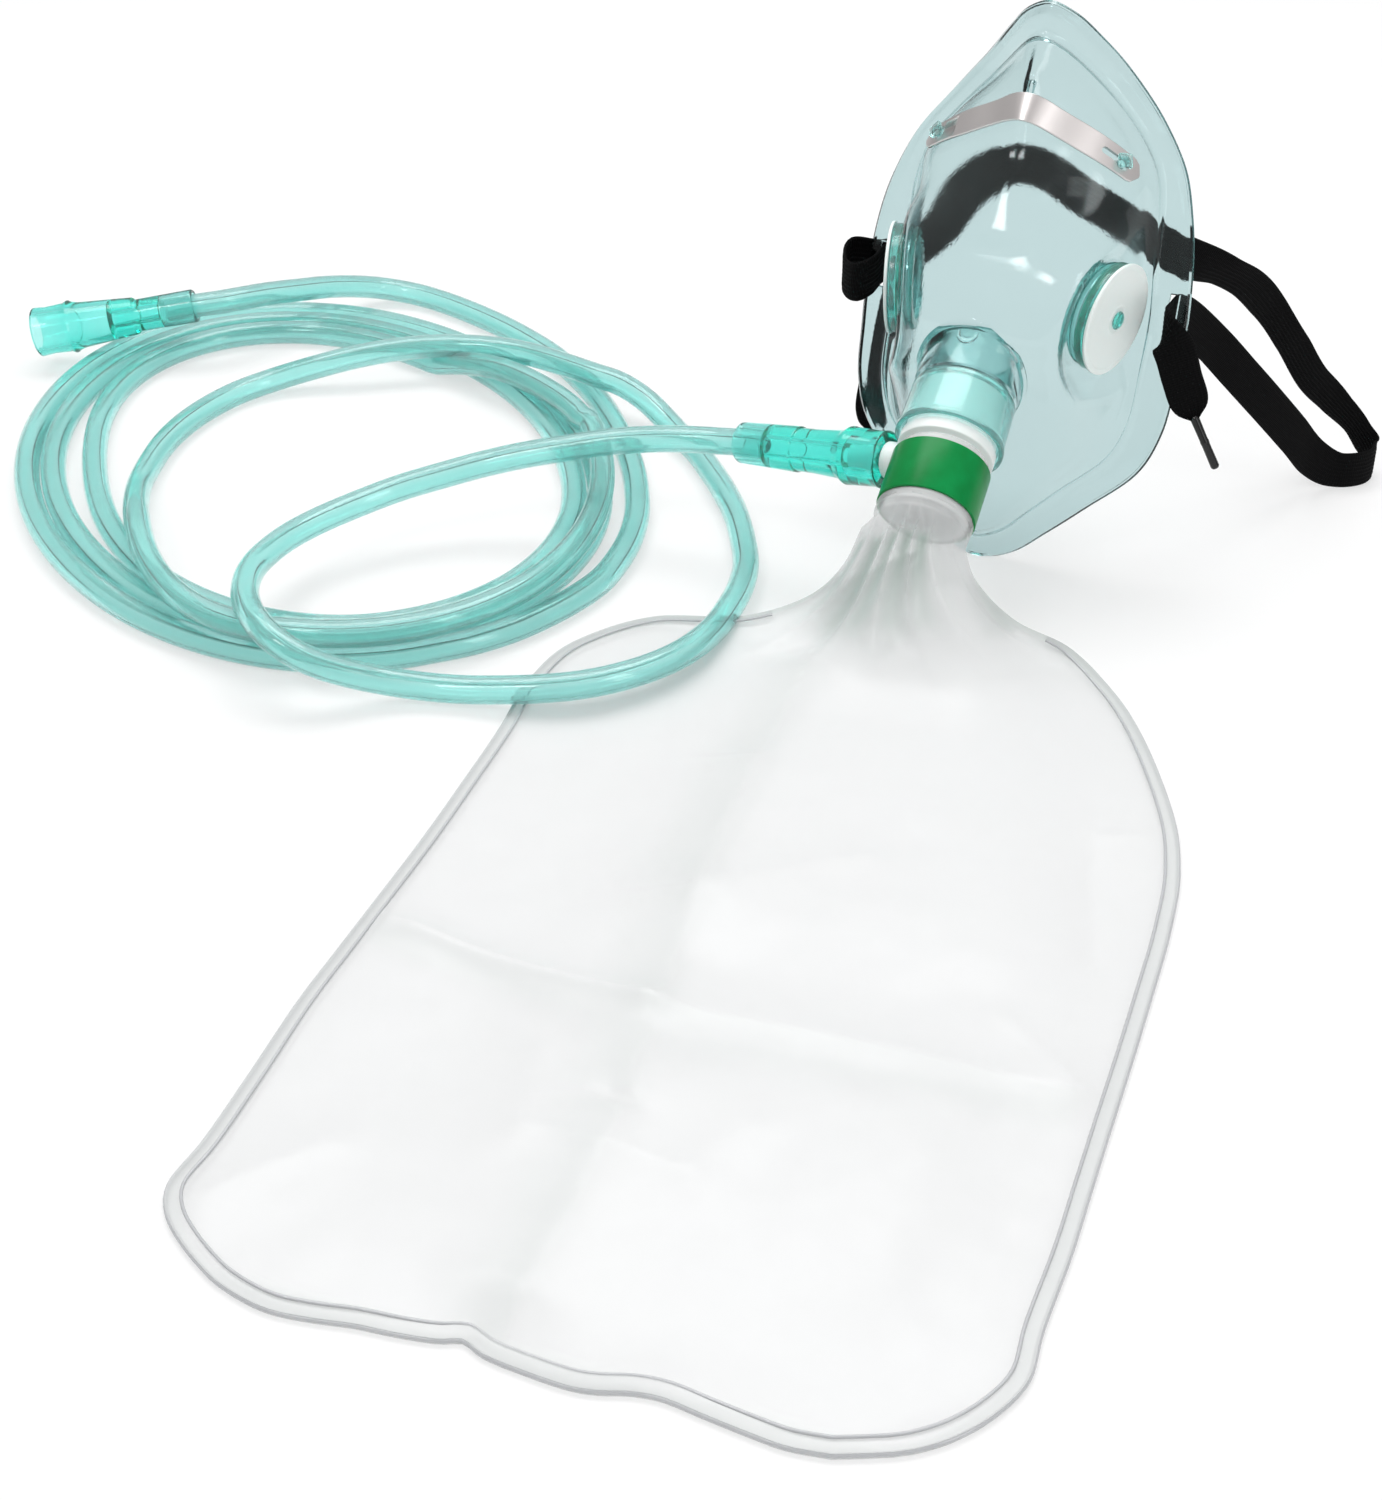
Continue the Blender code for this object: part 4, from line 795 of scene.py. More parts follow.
def shell_grid(stations):
    """Rows of points in the mask's own frame, from the flange edge over the wall to the ridge."""
    keys = [(key,) + tuple(c for xy in WALLS[name] for c in xy) for key, name in WALL_KEYS]
    seats = valve_seats()
    grid = [wall_row(rim, keys, seats) for rim in rim_points(stations)]
    for end in (grid[0], grid[-1]):
        for p in end:
            p.x = 0.0
    even_nose(grid)
    ridge_line(grid)
    for row in grid[1:-1]:
        for _ in range(3):
            row[-1].z = (row[-1].z + row[-2].z) / 2
            row[-2].z = (row[-1].z + row[-2].z * 2 + row[-3].z) / 4
    return grid


def ridge_line(grid):
    """A crisp low crest down the nose, over the smooth wall."""
    for row in grid:
        for p in row:
            tall = 1.9 * smooth(81.5, 86.0, p.y) * (1.0 - smooth(94.0, 103.0, p.y))
            p.z += tall * max(1.0 - abs(p.x) / 10.5, 0.0)


def inner_grid(grid, wall):
    """The rows again on the inside of the wall, along the normals, kept to their own half."""
    rows = len(grid)
    cols = len(grid[0])
    out = []
    for i in range(rows):
        line = []
        for j, p in enumerate(grid[i]):
            a = grid[i - 1][j] if i > 0 else sided(grid[1][j], -1)
            b = grid[i + 1][j] if i < rows - 1 else sided(grid[rows - 2][j], -1)
            c = grid[i][j - 1] if j > 0 else p
            d = grid[i][j + 1] if j < cols - 1 else sided(c, -1)
            along = d - c
            if along.length < 0.001:
                along = p - c
            n = along.cross(b - a).normalized()
            q = p - n * wall * (1.0 + 0.35 * (1.0 - smooth(0.0, 3.0, j)))
            on_plane = i in (0, rows - 1) or j == cols - 1
            q.x = 0.0 if on_plane else max(q.x, p.x * 0.6)
            line.append(q)
        out.append(line)
    return out


def grid_faces(rows, cols):
    corners = [i * cols + j for i in range(rows - 1) for j in range(cols - 1)]
    return [(a, a + 1, a + cols + 1, a + cols) for a in corners]


def shell_solid(name, grid, inner, mat):
    """Both halves with a rounded rim, as one closed mesh."""
    cols = len(grid[0])
    half = [p for row in grid + inner for p in row]
    shift = len(grid) * cols
    lips = []
    for i in range(len(grid)):
        a = grid[i][0]
        b = inner[i][0]
        outward = (a - grid[i][1]).normalized() * (a - b).length * 0.45
        q = (a + b) / 2 + outward
        if i in (0, len(grid) - 1):
            q.x = 0.0
        lips.append(len(half))
        half.append(q)
    verts = half + [sided(p, -1) for p in half]
    count = len(half)
    faces = []
    for i in range(len(grid) - 1):
        for j in range(cols - 1):
            a = i * cols + j
            faces.append((a, a + 1, a + cols + 1, a + cols))
            faces.append(tuple(shift + k for k in (a + cols, a + cols + 1, a + 1, a)))
        a = i * cols
        faces.append((a, a + cols, lips[i + 1], lips[i]))
        faces.append((lips[i], lips[i + 1], a + cols + shift, a + shift))
    faces += [tuple(count + k for k in reversed(face)) for face in faces]
    return solid(name, verts, weld_pairs(faces, half), MASK, mat, 50.0)


def weld_pairs(faces, half):
    """The mirrored vertices on the mid-plane are the same as the first ones."""
    same = {len(half) + i: i for i, p in enumerate(half) if abs(p.x) < 1e-7}
    out = []
    for face in faces:
        ring = []
        for v in face:
            v = same.get(v, v)
            if v not in ring:
                ring.append(v)
        if len(ring) > 2:
            out.append(tuple(ring))
    return out


def spigot_skin():
    """The gas port's tube, from its fillet on the wall to its mouth."""
    slope = math.atan2(9.4, 29.0)
    n = Vector((0, -math.sin(slope), math.cos(slope)))
    foot = Vector((0, 50.5, 20.3))
    to_mask = MASK.inverted() @ PORT
    axis = (to_mask.to_3x3() @ Vector((0, 0, 1))).normalized()
    steps = 96
    loops = []
    for r, rise in ((SPIGOT_R + 1.2, 0.0), (SPIGOT_R + 1.2, 1.1), (SPIGOT_R + 0.5, 1.9),
                    (SPIGOT_R, 3.0), (SPIGOT_R, None), (SPIGOT_R - 0.4, None)):
        loop = []
        for k in range(steps):
            a = math.tau * k / steps
            p = to_mask @ (Vector((r * math.cos(a), r * math.sin(a), 0.0)) * MM) / MM
            foot_z = (foot - p).dot(n) / axis.dot(n)
            top = SPIGOT_END - (0.4 if r == SPIGOT_R else 0.0)
            z = top if rise is None else foot_z + rise * (top - foot_z) / 5.4
            loop.append(p + axis * z)
        loops.append(loop)
    verts, faces = rings(loops)
    return solid("spigot", verts, faces, MASK)


def spigot_boss():
    """The small round boss above the gas port."""
    at = PORT @ Matrix.Translation(Vector((0, SPIGOT_R - 0.6, -4.5)) * MM)
    at = at @ Matrix.Rotation(math.radians(-90), 4, "X")
    profile = [(0, 1.2), (1.1, 1.2), (1.1, 0.9), (1.7, 0.9), (1.7, 1.3), (2.5, 1.3),
               (2.8, -1.5), (0, -1.5)]
    verts, faces = lathe_mesh(rounded(profile, 0.2, 2, False), 40, False)
    return solid("boss", verts, faces, at)


def build_mask(settings):
    mat = clear_pvc(settings)
    grid = shell_grid(settings.stations)
    shell = shell_solid("mask_cup", grid, inner_grid(grid, settings.wall / MM), mat)
    carve(shell, carve(spigot_skin(), spigot_boss(), "UNION"), "UNION")
    tools = [rod("bore", SPIGOT_BORE_R, -30.0, SPIGOT_END + 2, PORT, 96)]
    for side in (1, -1):
        slot = pose(sided(SLOT_AT, side), (0, 0, 1))
        tools.append(block("slot", SLOT_SIZE, MASK @ slot))
        tools.append(rod("hole", VALVE_HOLE_R, -5.0, 5.0, MASK @ valve_pose(side), 80))
    carve(shell, join("openings", tools))
    repaint(shell, mat, 42.0)
    for v in shell.data.vertices:
        v.co.z = max(v.co.z, FLOOR_GAP)
    dress(shell, "clear_pvc", "mask_shell")
    return grid


def valve_pose(side):
    return pose(sided(VALVE_AT, side), sided(VALVE_NORMAL, side), (0, 1, 0))


# node groups

def new_tree(name, *inputs):
    """A node group with geometry in and out and the named inputs, and those inputs' keys."""
    tree = bpy.data.node_groups.new(name, "GeometryNodeTree")
    face = tree.interface
    face.new_socket("Geometry", in_out="INPUT", socket_type="NodeSocketGeometry")
    keys = []
    for word, kind in inputs:
        socket = face.new_socket(word, in_out="INPUT", socket_type="NodeSocket" + kind)
        keys.append(socket.identifier)
    face.new_socket("Geometry", in_out="OUTPUT", socket_type="NodeSocketGeometry")
    return tree, keys


def wire(tree, *rows):
    """Links of a tree, each given as node, output, node and input."""
    for a, out, b, into in rows:
        tree.links.new(a.outputs[out], b.inputs[into])


def paint_out(tree, node, out, mat):
    """The end of a tree: its material and its output."""
    paint = tree.nodes.new("GeometryNodeSetMaterial")
    paint.inputs["Material"].default_value = mat
    end = tree.nodes.new("NodeGroupOutput")
    wire(tree, (node, out, paint, "Geometry"), (paint, "Geometry", end, "Geometry"))


def sweep_out(tree, node, out, mat):
    """The end of a tree that sweeps a path: real geometry, shaded smooth."""
    realize = tree.nodes.new("GeometryNodeRealizeInstances")
    soft = tree.nodes.new("GeometryNodeSetShadeSmooth")
    wire(tree, (node, out, realize, "Geometry"), (realize, "Geometry", soft, "Geometry"))
    paint_out(tree, soft, "Geometry", mat)


def run_tree(obj, tree, values):
    mod = obj.modifiers.new("nodes", "NODES")
    mod.node_group = tree
    for key, value in values.items():
        mod[key] = value
    return plain(obj)


# valves

def window_tree(settings, mat):
    """Nodes that cut the ring of windows through a valve seat."""
    tree, (count, ring, radius) = new_tree("valve_windows", ("Count", "Int"), ("Ring", "Float"),
                                           ("Radius", "Float"))
    add = tree.nodes.new
    start = add("NodeGroupInput")
    circle = add("GeometryNodeMeshCircle")
    drill = add("GeometryNodeMeshCylinder")
    drill.inputs["Vertices"].default_value = 32
    drill.inputs["Depth"].default_value = 0.012
    scatter = add("GeometryNodeInstanceOnPoints")
    realize = add("GeometryNodeRealizeInstances")
    cut = add("GeometryNodeMeshBoolean")
    cut.operation = "DIFFERENCE"
    wire(tree, (start, "Count", circle, "Vertices"), (start, "Ring", circle, "Radius"),
         (start, "Radius", drill, "Radius"), (circle, "Mesh", scatter, "Points"),
         (drill, "Mesh", scatter, "Instance"), (scatter, "Instances", realize, "Geometry"),
         (start, "Geometry", cut, "Mesh 1"), (realize, "Geometry", cut, "Mesh 2"))
    paint_out(tree, cut, "Mesh", mat)
    return tree, {count: settings.windows, ring: settings.window_ring,
                  radius: settings.window_radius}


def build_valves(settings, teal_tint):
    teal = teal_clear("valve_teal", teal_tint, 300.0, 0.12)
    white = silicone()
    tree, values = window_tree(settings, teal)
    # the disc lies a small gap above the seat's foot and height
    low = 0.3 + 2.4 + 0.2
    top = low + 0.8
    neck = 11.2
    hub = 1.9
    r = settings.flap_radius / MM
    for side, word in ((1, "right"), (-1, "left")):
        where = MASK @ valve_pose(side)
        seat = turned("valve_seat_" + word, [
            (0, top + 1.0), (1.9, top + 0.9), (2.3, top + 0.25), (1.6, top + 0.25),
            (1.6, low - 0.2), (2.6, low - 0.2), (2.6, 1.2), (10.6, 1.2), (11.4, 2.7), (13.0, 2.7),
            (13.0, 0.3), (neck, 0.3), (neck, -2.1), (12.5, -2.1), (12.1, -3.1),
            (neck - 1.2, -3.1), (neck - 1.2, -0.6), (0, -0.6)], Matrix(), teal, 96, False, 0.2)
        run_tree(seat, tree, values)
        seat.data.transform(where)
        shade(seat, 40.0)
        dress(seat, "teal_plastic", "exhale_valve_seat_" + word)
        flap = turned("valve_disc_" + word, [
            (r, top - 0.1), (r, low + 0.1), (r - 0.25, low), (hub, low), (hub, top),
            (2.9, top), (3.2, top + 0.12), (3.6, top + 0.12), (3.9, top), (r - 1.6, top),
            (r - 1.3, top + 0.1), (r - 0.3, top + 0.06)], where, white, 128, True, 0.12, 30.0)
        dress(flap, "white_silicone", "exhale_valve_flap_" + word)


# nose clip

def clip_path(grid, half_angle):
    """Points and normals on the skin where rays in one tilted plane meet it."""
    verts = [p for row in grid for p in row]
    skin = BVHTree.FromPolygons(verts, grid_faces(len(grid), len(grid[0])))
    across = Vector((1, 0, 0))
    crest = Vector(CLIP_CREST)
    flat = across.cross(crest - Vector(CLIP_LOW)).normalized()
    start = Vector((0, 98.0, -10.0))
    start = start - flat * (start - crest).dot(flat)
    fore = flat.cross(across).normalized()
    if fore.z < 0:
        fore = -fore
    half = []
    steps = 30
    for k in range(steps + 1):
        angle = math.radians(half_angle) * k / steps
        ray = fore * math.cos(angle) + across * math.sin(angle)
        ray.x = max(ray.x, 0.0008)
        hit, normal, _, _ = skin.ray_cast(start, ray)
        if normal.dot(ray) < 0:
            normal = -normal
        if k == 0:
            hit.x = 0.0
            normal.x = 0.0
        half.append((hit, normal.normalized()))
    path = [(sided(p, -1), sided(n, -1)) for p, n in half[:0:-1]] + half
    count = len(path)
    out = []
    for i in range(count):
        near = path[max(i - 3, 0):i + 4]
        p = sum((q for q, _ in near), Vector()) / len(near) if 3 < i < count - 4 else path[i][0]
        out.append((p, sum((m for _, m in near), Vector()).normalized()))
    return out


def clip_loops(settings, path):
    """Loops across the strip along its path, and the middle and directions of each."""
    total = len(path)
    run = [0.0]
    for (a, _), (b, _) in zip(path, path[1:]):
        run.append(run[-1] + (b - a).length)
    width = settings.width / MM
    thick = settings.thickness / MM
    loops = []
    places = []
    for i, (p, n) in enumerate(path):
        a = path[max(i - 1, 0)][0]
        b = path[min(i + 1, total - 1)][0]
        t = (b - a).normalized()
        n = (n - t * n.dot(t)).normalized()
        across = t.cross(n).normalized()
        edge = min(run[i], run[-1] - run[i])
        share = math.sqrt(max(1.0 - max(1.0 - edge / 3.2, 0.0) ** 2, 0.02))
        mid = 1.0 - smooth(0.0, 3.5, abs(run[i] - run[-1] / 2))
        c = p + n * (0.45 + thick / 2 + 0.15 + 0.35 * mid)
        w = width / 2 * share
        h = thick / 2
        loop = []
        for x, z in ((-w, -h * 0.5), (-w, h * 0.5), (-w + 0.2, h), (w - 0.2, h), (w, h * 0.5),
                     (w, -h * 0.5), (w - 0.2, -h), (-w + 0.2, -h)):
            loop.append(c + across * x + n * z)
        loops.append(loop)
        places.append((c, n, t))
    return loops, places


def clip_peg(clip, place, way, teal):
    """Cuts the eye and its slit into the strip and returns the peg that stands in the eye."""
    eye = rod("eye", 1.75, -3, 3, place, 40)
    slit = block("slit", (3.4, 1.7, 6), place @ Matrix.Translation((way * 0.0034, 0, 0)))
    end = rod("end", 0.85, -2.9, 2.9, place @ Matrix.Translation((way * 0.0051, 0, 0)), 32)
    carve(slit, end, "UNION")
    carve(clip, eye)
    carve(clip, slit)
    post = turned("post", [(0, 1.3), (1.15, 1.3), (1.15, -1.9), (0, -1.9)], place, teal, 32,
                  False)
    head = block("head", (3.4, 3.4, 1.3), place @ Matrix.Rotation(0.5, 4, "Z")
                 @ Matrix.Translation((0, 0, 0.0016)))
    bevel = head.modifiers.new("edge", "BEVEL")
    bevel.width = 0.00035
    bevel.segments = 2
    return carve(post, plain(head), "UNION")


def build_clip(settings, grid, teal_tint):
    loops, places = clip_loops(settings, clip_path(grid, settings.half_angle))
    verts, faces = rings(loops)
    clip = solid("nose_strip", verts, faces, MASK, satin_metal(), 30.0)
    teal = teal_clear("peg_teal", teal_tint, 90.0, 0.08)
    pegs = []
    for i, way in ((4, 1), (len(places) - 5, -1)):
        c, n, t = places[i]
        pegs.append(clip_peg(clip, MASK @ pose(c, n, t), way, teal))
    shade(clip, 30.0)
    dress(clip, "clip_aluminium", "nose_clip")
    for word, peg in zip(("left", "right"), pegs):
        peg.name = "clip_peg_" + word
        repaint(peg, teal, 35.0)
        dress(peg, "clear_pvc")


# port, adapter, band and connectors

def build_collar(settings):
    teal = teal_clear("collar_teal", settings.pale, 150.0, 0.12)
    collar = turned("swivel_collar", [
        (13.0, 18.0), (13.0, 16.6), (12.65, 16.0), (12.4, 4.6), (12.1, 4.3), (10.5, 4.3),
        (10.5, -8.0), (8.7, -8.0), (8.7, 5.0), (10.9, 5.0), (11.4, 16.0), (11.9, 18.0)],
        PORT, teal, 128, True, 0.3)
    dress(collar, "teal_plastic", "port_collar")


def build_adapter():
    """The white adapter with its gas inlet and five round openings, and the disc inside it."""
    white = white_plastic()
    adapter = turned("bag_adapter", [
        (0, 13.0), (8.0, 13.0), (8.0, 38.5), (9.9, 38.5), (9.9, 21.6), (11.5, 21.2),
        (11.5, 18.5), (10.9, 17.8), (10.5, 5.4), (9.4, 5.4), (9.4, 11.5), (0, 11.5)],
        PORT, white, 128, False, 0.3)
    inlet = rod("inlet", 4.4, 8.8, CUFF_FROM - 0.3, STUB, 48)
    nipple = rod("nipple", 3.0, 9.0, CUFF_FROM + 8.6, STUB, 32)
    carve(adapter, carve(inlet, nipple, "UNION"), "UNION")
    carve(adapter, rod("bore", 2.0, 6.5, CUFF_FROM + 12.0, STUB, 24))
    webs = []
    for k in range(5):
        spin = math.tau * (k + 0.27) / 5
        at = Matrix.Translation(Vector((4.6 * math.cos(spin), 4.6 * math.sin(spin), 0)) * MM)
        webs.append(rod("web", 2.0, 9.0, 16.0, PORT @ at, 24))
    carve(adapter, join("webs", webs))
    repaint(adapter, white, 38.0)
    dress(adapter, "white_plastic", "reservoir_adapter")
    flap = turned("check_disc", [(0, 11.2), (7.2, 11.2), (7.2, 10.6), (0, 10.6)], PORT,
                  silicone(), 64, False, 0.1)
    dress(flap, "white_silicone", "check_valve_flap")


def build_band(settings):
    """The green band, with a lap seam and a notch for the gas inlet."""
    r = settings.band_radius / MM
    green = green_film()
    band = turned("sleeve_band", [(r, BAND_FOOT), (r, BAND_TOP), (11.05, BAND_TOP),
                                  (11.05, BAND_FOOT)], PORT, green, 160, True, 0.15)
    lap = block("lap", (0.5, 0.5, 13.4), PORT @ Matrix.Rotation(math.radians(-66), 4, "Z")
                @ Matrix.Translation(Vector((r + 0.1, 0, 31.0)) * MM))
    for tool in (lap, notch(), notch_top()):
        carve(band, tool)
    repaint(band, green, 38.0)
    dress(band, "green_band", "bag_band")


def build_connectors(settings):
    """The cuff on the mask's inlet and the funnel at the supply end, which the hose needs."""
    teal = teal_clear("cuff_teal", settings.teal, 300.0, 0.1, 0.95)
    end = CONNECTOR_TO
    cuff = turned("cuff_connector", [
        (4.6, end), (5.0, end - 0.4), (5.3, end - 9.0), (5.55, end - 17.0), (5.2, end - 17.4),
        (5.3, end - 22.0), (5.8, 26.8), (7.05, 24.6), (6.9, 23.6), (6.6, 16.6), (6.9, 15.0),
        (6.6, 14.6), (3.3, 14.6), (3.3, 24.6), (1.8, 25.2), (1.8, end - 8.4), (3.7, end - 8.0),
        (3.7, end)], STUB, teal, 96, True, 0.3)
    dress(cuff, "teal_plastic", "mask_tube_connector")
    axis = Vector(SUPPLY_SOCKET) - Vector(SUPPLY_MOUTH)
    far = axis.length
    supply = turned("supply_funnel", [
        (4.4, far), (4.75, far - 0.4), (4.55, far * 0.64), (5.3, far * 0.62), (6.5, 13.5),
        (7.0, 11.5), (7.6, 10.6), (7.0, 9.2), (6.7, 4.0), (7.0, 0.4), (6.7, 0.0), (5.4, 0.0),
        (5.0, 1.2), (4.3, 22.0), (1.8, 23.0), (1.8, far - 10.4), (3.7, far - 10.0), (3.7, far)],
        WORLD @ pose(SUPPLY_MOUTH, axis, (0, 0, 1)), teal, 96, True, 0.3)
    dress(supply, "teal_plastic", "supply_connector")
    return supply


def build_port(settings):
    build_collar(settings)
    build_adapter()
    build_band(settings)
    return build_connectors(settings)


def notch():
    """Room for the gas inlet."""
    return rod("notch", 5.0, 5.0, 30.0, STUB, 48)


def notch_top():
    """Room above the gas inlet, up to the band's upper edge."""
    return block("notch_top", (16, 10.0, 9), PORT @ pose((-14.0, -3.2, 18.9), (0, 0, 1)))


# bag

def bag_point(s, t, z):
    """A place of the bag's own plane, in the tables' millimetres."""
    c = math.cos(math.radians(BAG_TURN))
    d = math.sin(math.radians(BAG_TURN))
    return Vector((BAG_NECK[0] + d * s + c * t, BAG_NECK[1] - c * s + d * t, z))


def fold_height(s, t):
    """Height of the film's folds and slack at a point of the bag."""
    z = 0.0
    for s0, t0, s1, t1, height, half in FOLDS:
        a = Vector((s0, t0))
        b = Vector((s1, t1))
        p = Vector((s, t))
        k = min(max((p - a).dot(b - a) / (b - a).length_squared, 0.0), 1.0)
        d = (p - a.lerp(b, k)).length
        z += height * math.exp(-math.sqrt(d * d + 0.5) / half)
    z += 0.9 * noise.noise(Vector((s / 30.0, t / 24.0, 0.4)))
    z += 0.25 * noise.noise(Vector((s / 10.0, t / 9.0, 3.1)))
    return z


def pleat_at(s, q):
    """The gathers of the neck at a place across it: 0 in a valley and 1 on a crest."""
    lean = 0.10 * math.sin(s / 7.0) + 0.004 * (s - 40.0) * (0.3 - q)
    wave = abs(math.sin(11.5 * (q + lean) + 0.4 + 0.5 * math.sin(5.0 * q)))
    return 1.0 - wave ** 0.8


def crease_tone(s, t):
    """The shaded side of the long creases."""
    tone = 0.0
    for s0, t0, s1, t1, _, half in FOLDS[:6]:
        ds, dt = s1 - s0, t1 - t0
        length = math.hypot(ds, dt)
        side = (dt * (s - s0) - ds * (t - t0)) / length / max(half, 6.0)
        along = (ds * (s - s0) + dt * (t - t0)) / length ** 2
        ends = smooth(-0.02, 0.03, along) * smooth(1.02, 0.97, along)
        tone = max(tone, 0.15 * smooth(0.0, 0.16, side) * smooth(1.8, 0.2, side) * ends)
    return tone


def film_tone(s, t, q, index):
    """Painted shade on the film, which also makes it more opaque: in the neck's gathers, on the
    creases' shaded sides and in the listed patches; darker at the flat edges and the foot.
    """
    left = smooth(-0.98, -0.8, q) * (1.0 - smooth(0.25, 0.6, q))
    # painted shade pocket on the left of the neck, weaker further from it
    neck_pocket_shade = left * smooth(0.2, 0.6, index) * (1.0 - smooth(2.6, 3.3, index + 0.8 * abs(q)))
    cave = 1.0 - 0.45 * smooth(0.6, 2.4, index)
    # the painted shade is darkest in the valleys of the gathers and lightest on their crests
    tone = neck_pocket_shade * cave * (0.92 - 0.85 * pleat_at(s, q))
    if index > 1.2:
        # darker and more opaque along the flat edges and at the foot
        edge = max(smooth(0.05, 0.03, 1.0 - abs(q)), smooth(272.6, 274.0, s))
        tone = max(tone, (0.16 + 0.2 * smooth(6.0, 3.0, index)) * edge)
        tone = max(tone, crease_tone(s, t))
    # painted shade patches
    for s0, t0, a, b, strength in SHADE_PATCHES:
        away = ((s - s0) / a) ** 2 + ((t - t0) / b) ** 2
        tone = max(tone, strength * (1.0 - smooth(0.45, 1.0, away)))
    return tone


def bag_loops(rows, columns):
    """Loops of the bag, over the top film from left to right and back under, with their painted
    shade.
    """
    full = len(BAG_ROWS[0])
    table = [(row + FLAT_EDGE)[:full] + (float(i),) for i, row in enumerate(BAG_ROWS)]
    path = spaced(through([(r[0], r[1], 0.0) + tuple(r) for r in table], 16), rows)
    foot = [p[:2] for p in through(BAG_FOOT, 5)]
    loops = []
    tones = []
    for row in path:
        sm, tm, sl, tl, sr, tr, top, low, edge_top, edge_low, lean, index = row[3:]
        round_share = 1.0 - smooth(-1.0, 3.0, index)
        gather = (1.0 - smooth(1.2, 4.6, index)) * smooth(-0.6, 0.8, index)
        upper = []
        under = []
        for j in range(columns + 1):
            q = -math.cos(math.pi * j / columns)
            side_s, side_t = (sl, tl) if q < 0 else (sr, tr)
            s = sm + (side_s - sm) * abs(q) ** 2.2
            t = tm + (side_t - tm) * abs(q)
            s += read_rows(foot, t)[0] * smooth(FOOT_FROM, BAG_ROWS[-1][0], sm)
            arc = math.sqrt(max(1.0 - q * q, 0.0))
            film = smooth(1.0, 0.35, abs(q)) if q > 0 else smooth(0.64, 0.05, -q)
            crown = arc * round_share + film * (1.0 - round_share)
            z_top = edge_top + (top - edge_top) * crown
            z_low = edge_low + (low - edge_low) * (arc * round_share + crown * (1 - round_share))
            z_top += (pleat_at(sm, q) * 3.0 - 1.6) * gather * arc
            inside = smooth(0.0, 0.16, 1.0 - abs(q)) * smooth(5.0, 8.0, index) \
                * smooth(276.6, 262.0, sm)
            z_top += max(fold_height(s, t), 0.35 - (z_top - z_low)) * inside
            z_low = max(z_low, 0.06)
            z_top = max(z_top, z_low + 0.3)
            middle = (top + low) / 2
            upper.append(bag_point(s + lean * (z_top - middle), t, z_top))
            under.append(bag_point(s + lean * (z_low - middle), t, z_low))
            tones.append((upper[-1], film_tone(s, t, q, index)))
        loops.append(upper + under[::-1])
    return loops, tones


def sleeve_loops(columns):
    """Loops of the bag's sleeve on the adapter, with the puckers below the band."""
    loops = []
    for height, r in ((22.4, 10.75), (30.0, 10.75), (37.4, 10.75), (38.1, 11.25), (38.9, 11.5),
                      (39.5, 11.1), (40.2, 11.45), (40.9, 11.35), (41.5, 10.9), (42.2, 11.15),
                      (42.9, 11.0)):
        loop = []
        for side in (1, -1):
            for j in range(columns + 1):
                a = math.pi * j / columns
                p = Vector((-math.cos(a) * side * r, math.sin(a) * side * r, height))
                p.x += 0.12 * math.sin(7 * a + height)
                loop.append(WORLD.inverted() @ (PORT @ (p * MM)) / MM)
        loops.append(loop)
    return loops


def build_bag(settings):
    film = bag_film(settings)
    columns = 110
    body, tones = bag_loops(260, columns)
    neck = sleeve_loops(columns)
    verts, faces = rings(neck + body)
    faces.pop()
    last = len(verts) - 2 * (columns + 1)
    for j in range(columns):
        far = len(verts) - 1 - j
        faces.append((last + j, last + j + 1, far - 1, far))
    bag = solid("film_bag", verts, faces, WORLD, film, 60.0)
    carve(bag, rod("bore", 10.2, 15.0, 39.1, PORT, 96))
    carve(bag, notch())
    carve(bag, notch_top())
    repaint(bag, film, 60.0)
    tree = KDTree(len(tones))
    for i, (p, _) in enumerate(tones):
        tree.insert(WORLD @ (p * MM), i)
    tree.balance()
    # painted shade from the loops, copied to the nearest vertex of the cut bag
    layer = bag.data.attributes.new("tone", "FLOAT", "POINT")
    for v in bag.data.vertices:
        layer.data[v.index].value = tones[tree.find(v.co)[1]][1]
    dress(bag, "bag_film", "reservoir_bag")
    build_welds(settings, body, columns)


def bead_tree(mat):
    """Nodes that run a flat round bead along a path."""
    tree, (radius,) = new_tree("weld_bead", ("Radius", "Float"))
    add = tree.nodes.new
    start = add("NodeGroupInput")
    curve = add("GeometryNodeMeshToCurve")
    circle = add("GeometryNodeCurvePrimitiveCircle")
    circle.inputs["Resolution"].default_value = 8
    sweep = add("GeometryNodeCurveToMesh")
    sweep.inputs["Fill Caps"].default_value = True
    wire(tree, (start, "Geometry", curve, "Mesh"), (start, "Radius", circle, "Radius"),
         (curve, "Curve", sweep, "Curve"), (circle, "Curve", sweep, "Profile Curve"))
    sweep_out(tree, sweep, "Mesh", mat)
    return tree, radius


def wire_path(name, points):
    mesh = bpy.data.meshes.new(name)
    mesh.from_pydata([WORLD @ (Vector(p) * MM) for p in points],
                     [(i, i + 1) for i in range(len(points) - 1)], [])
    return put(name, mesh)


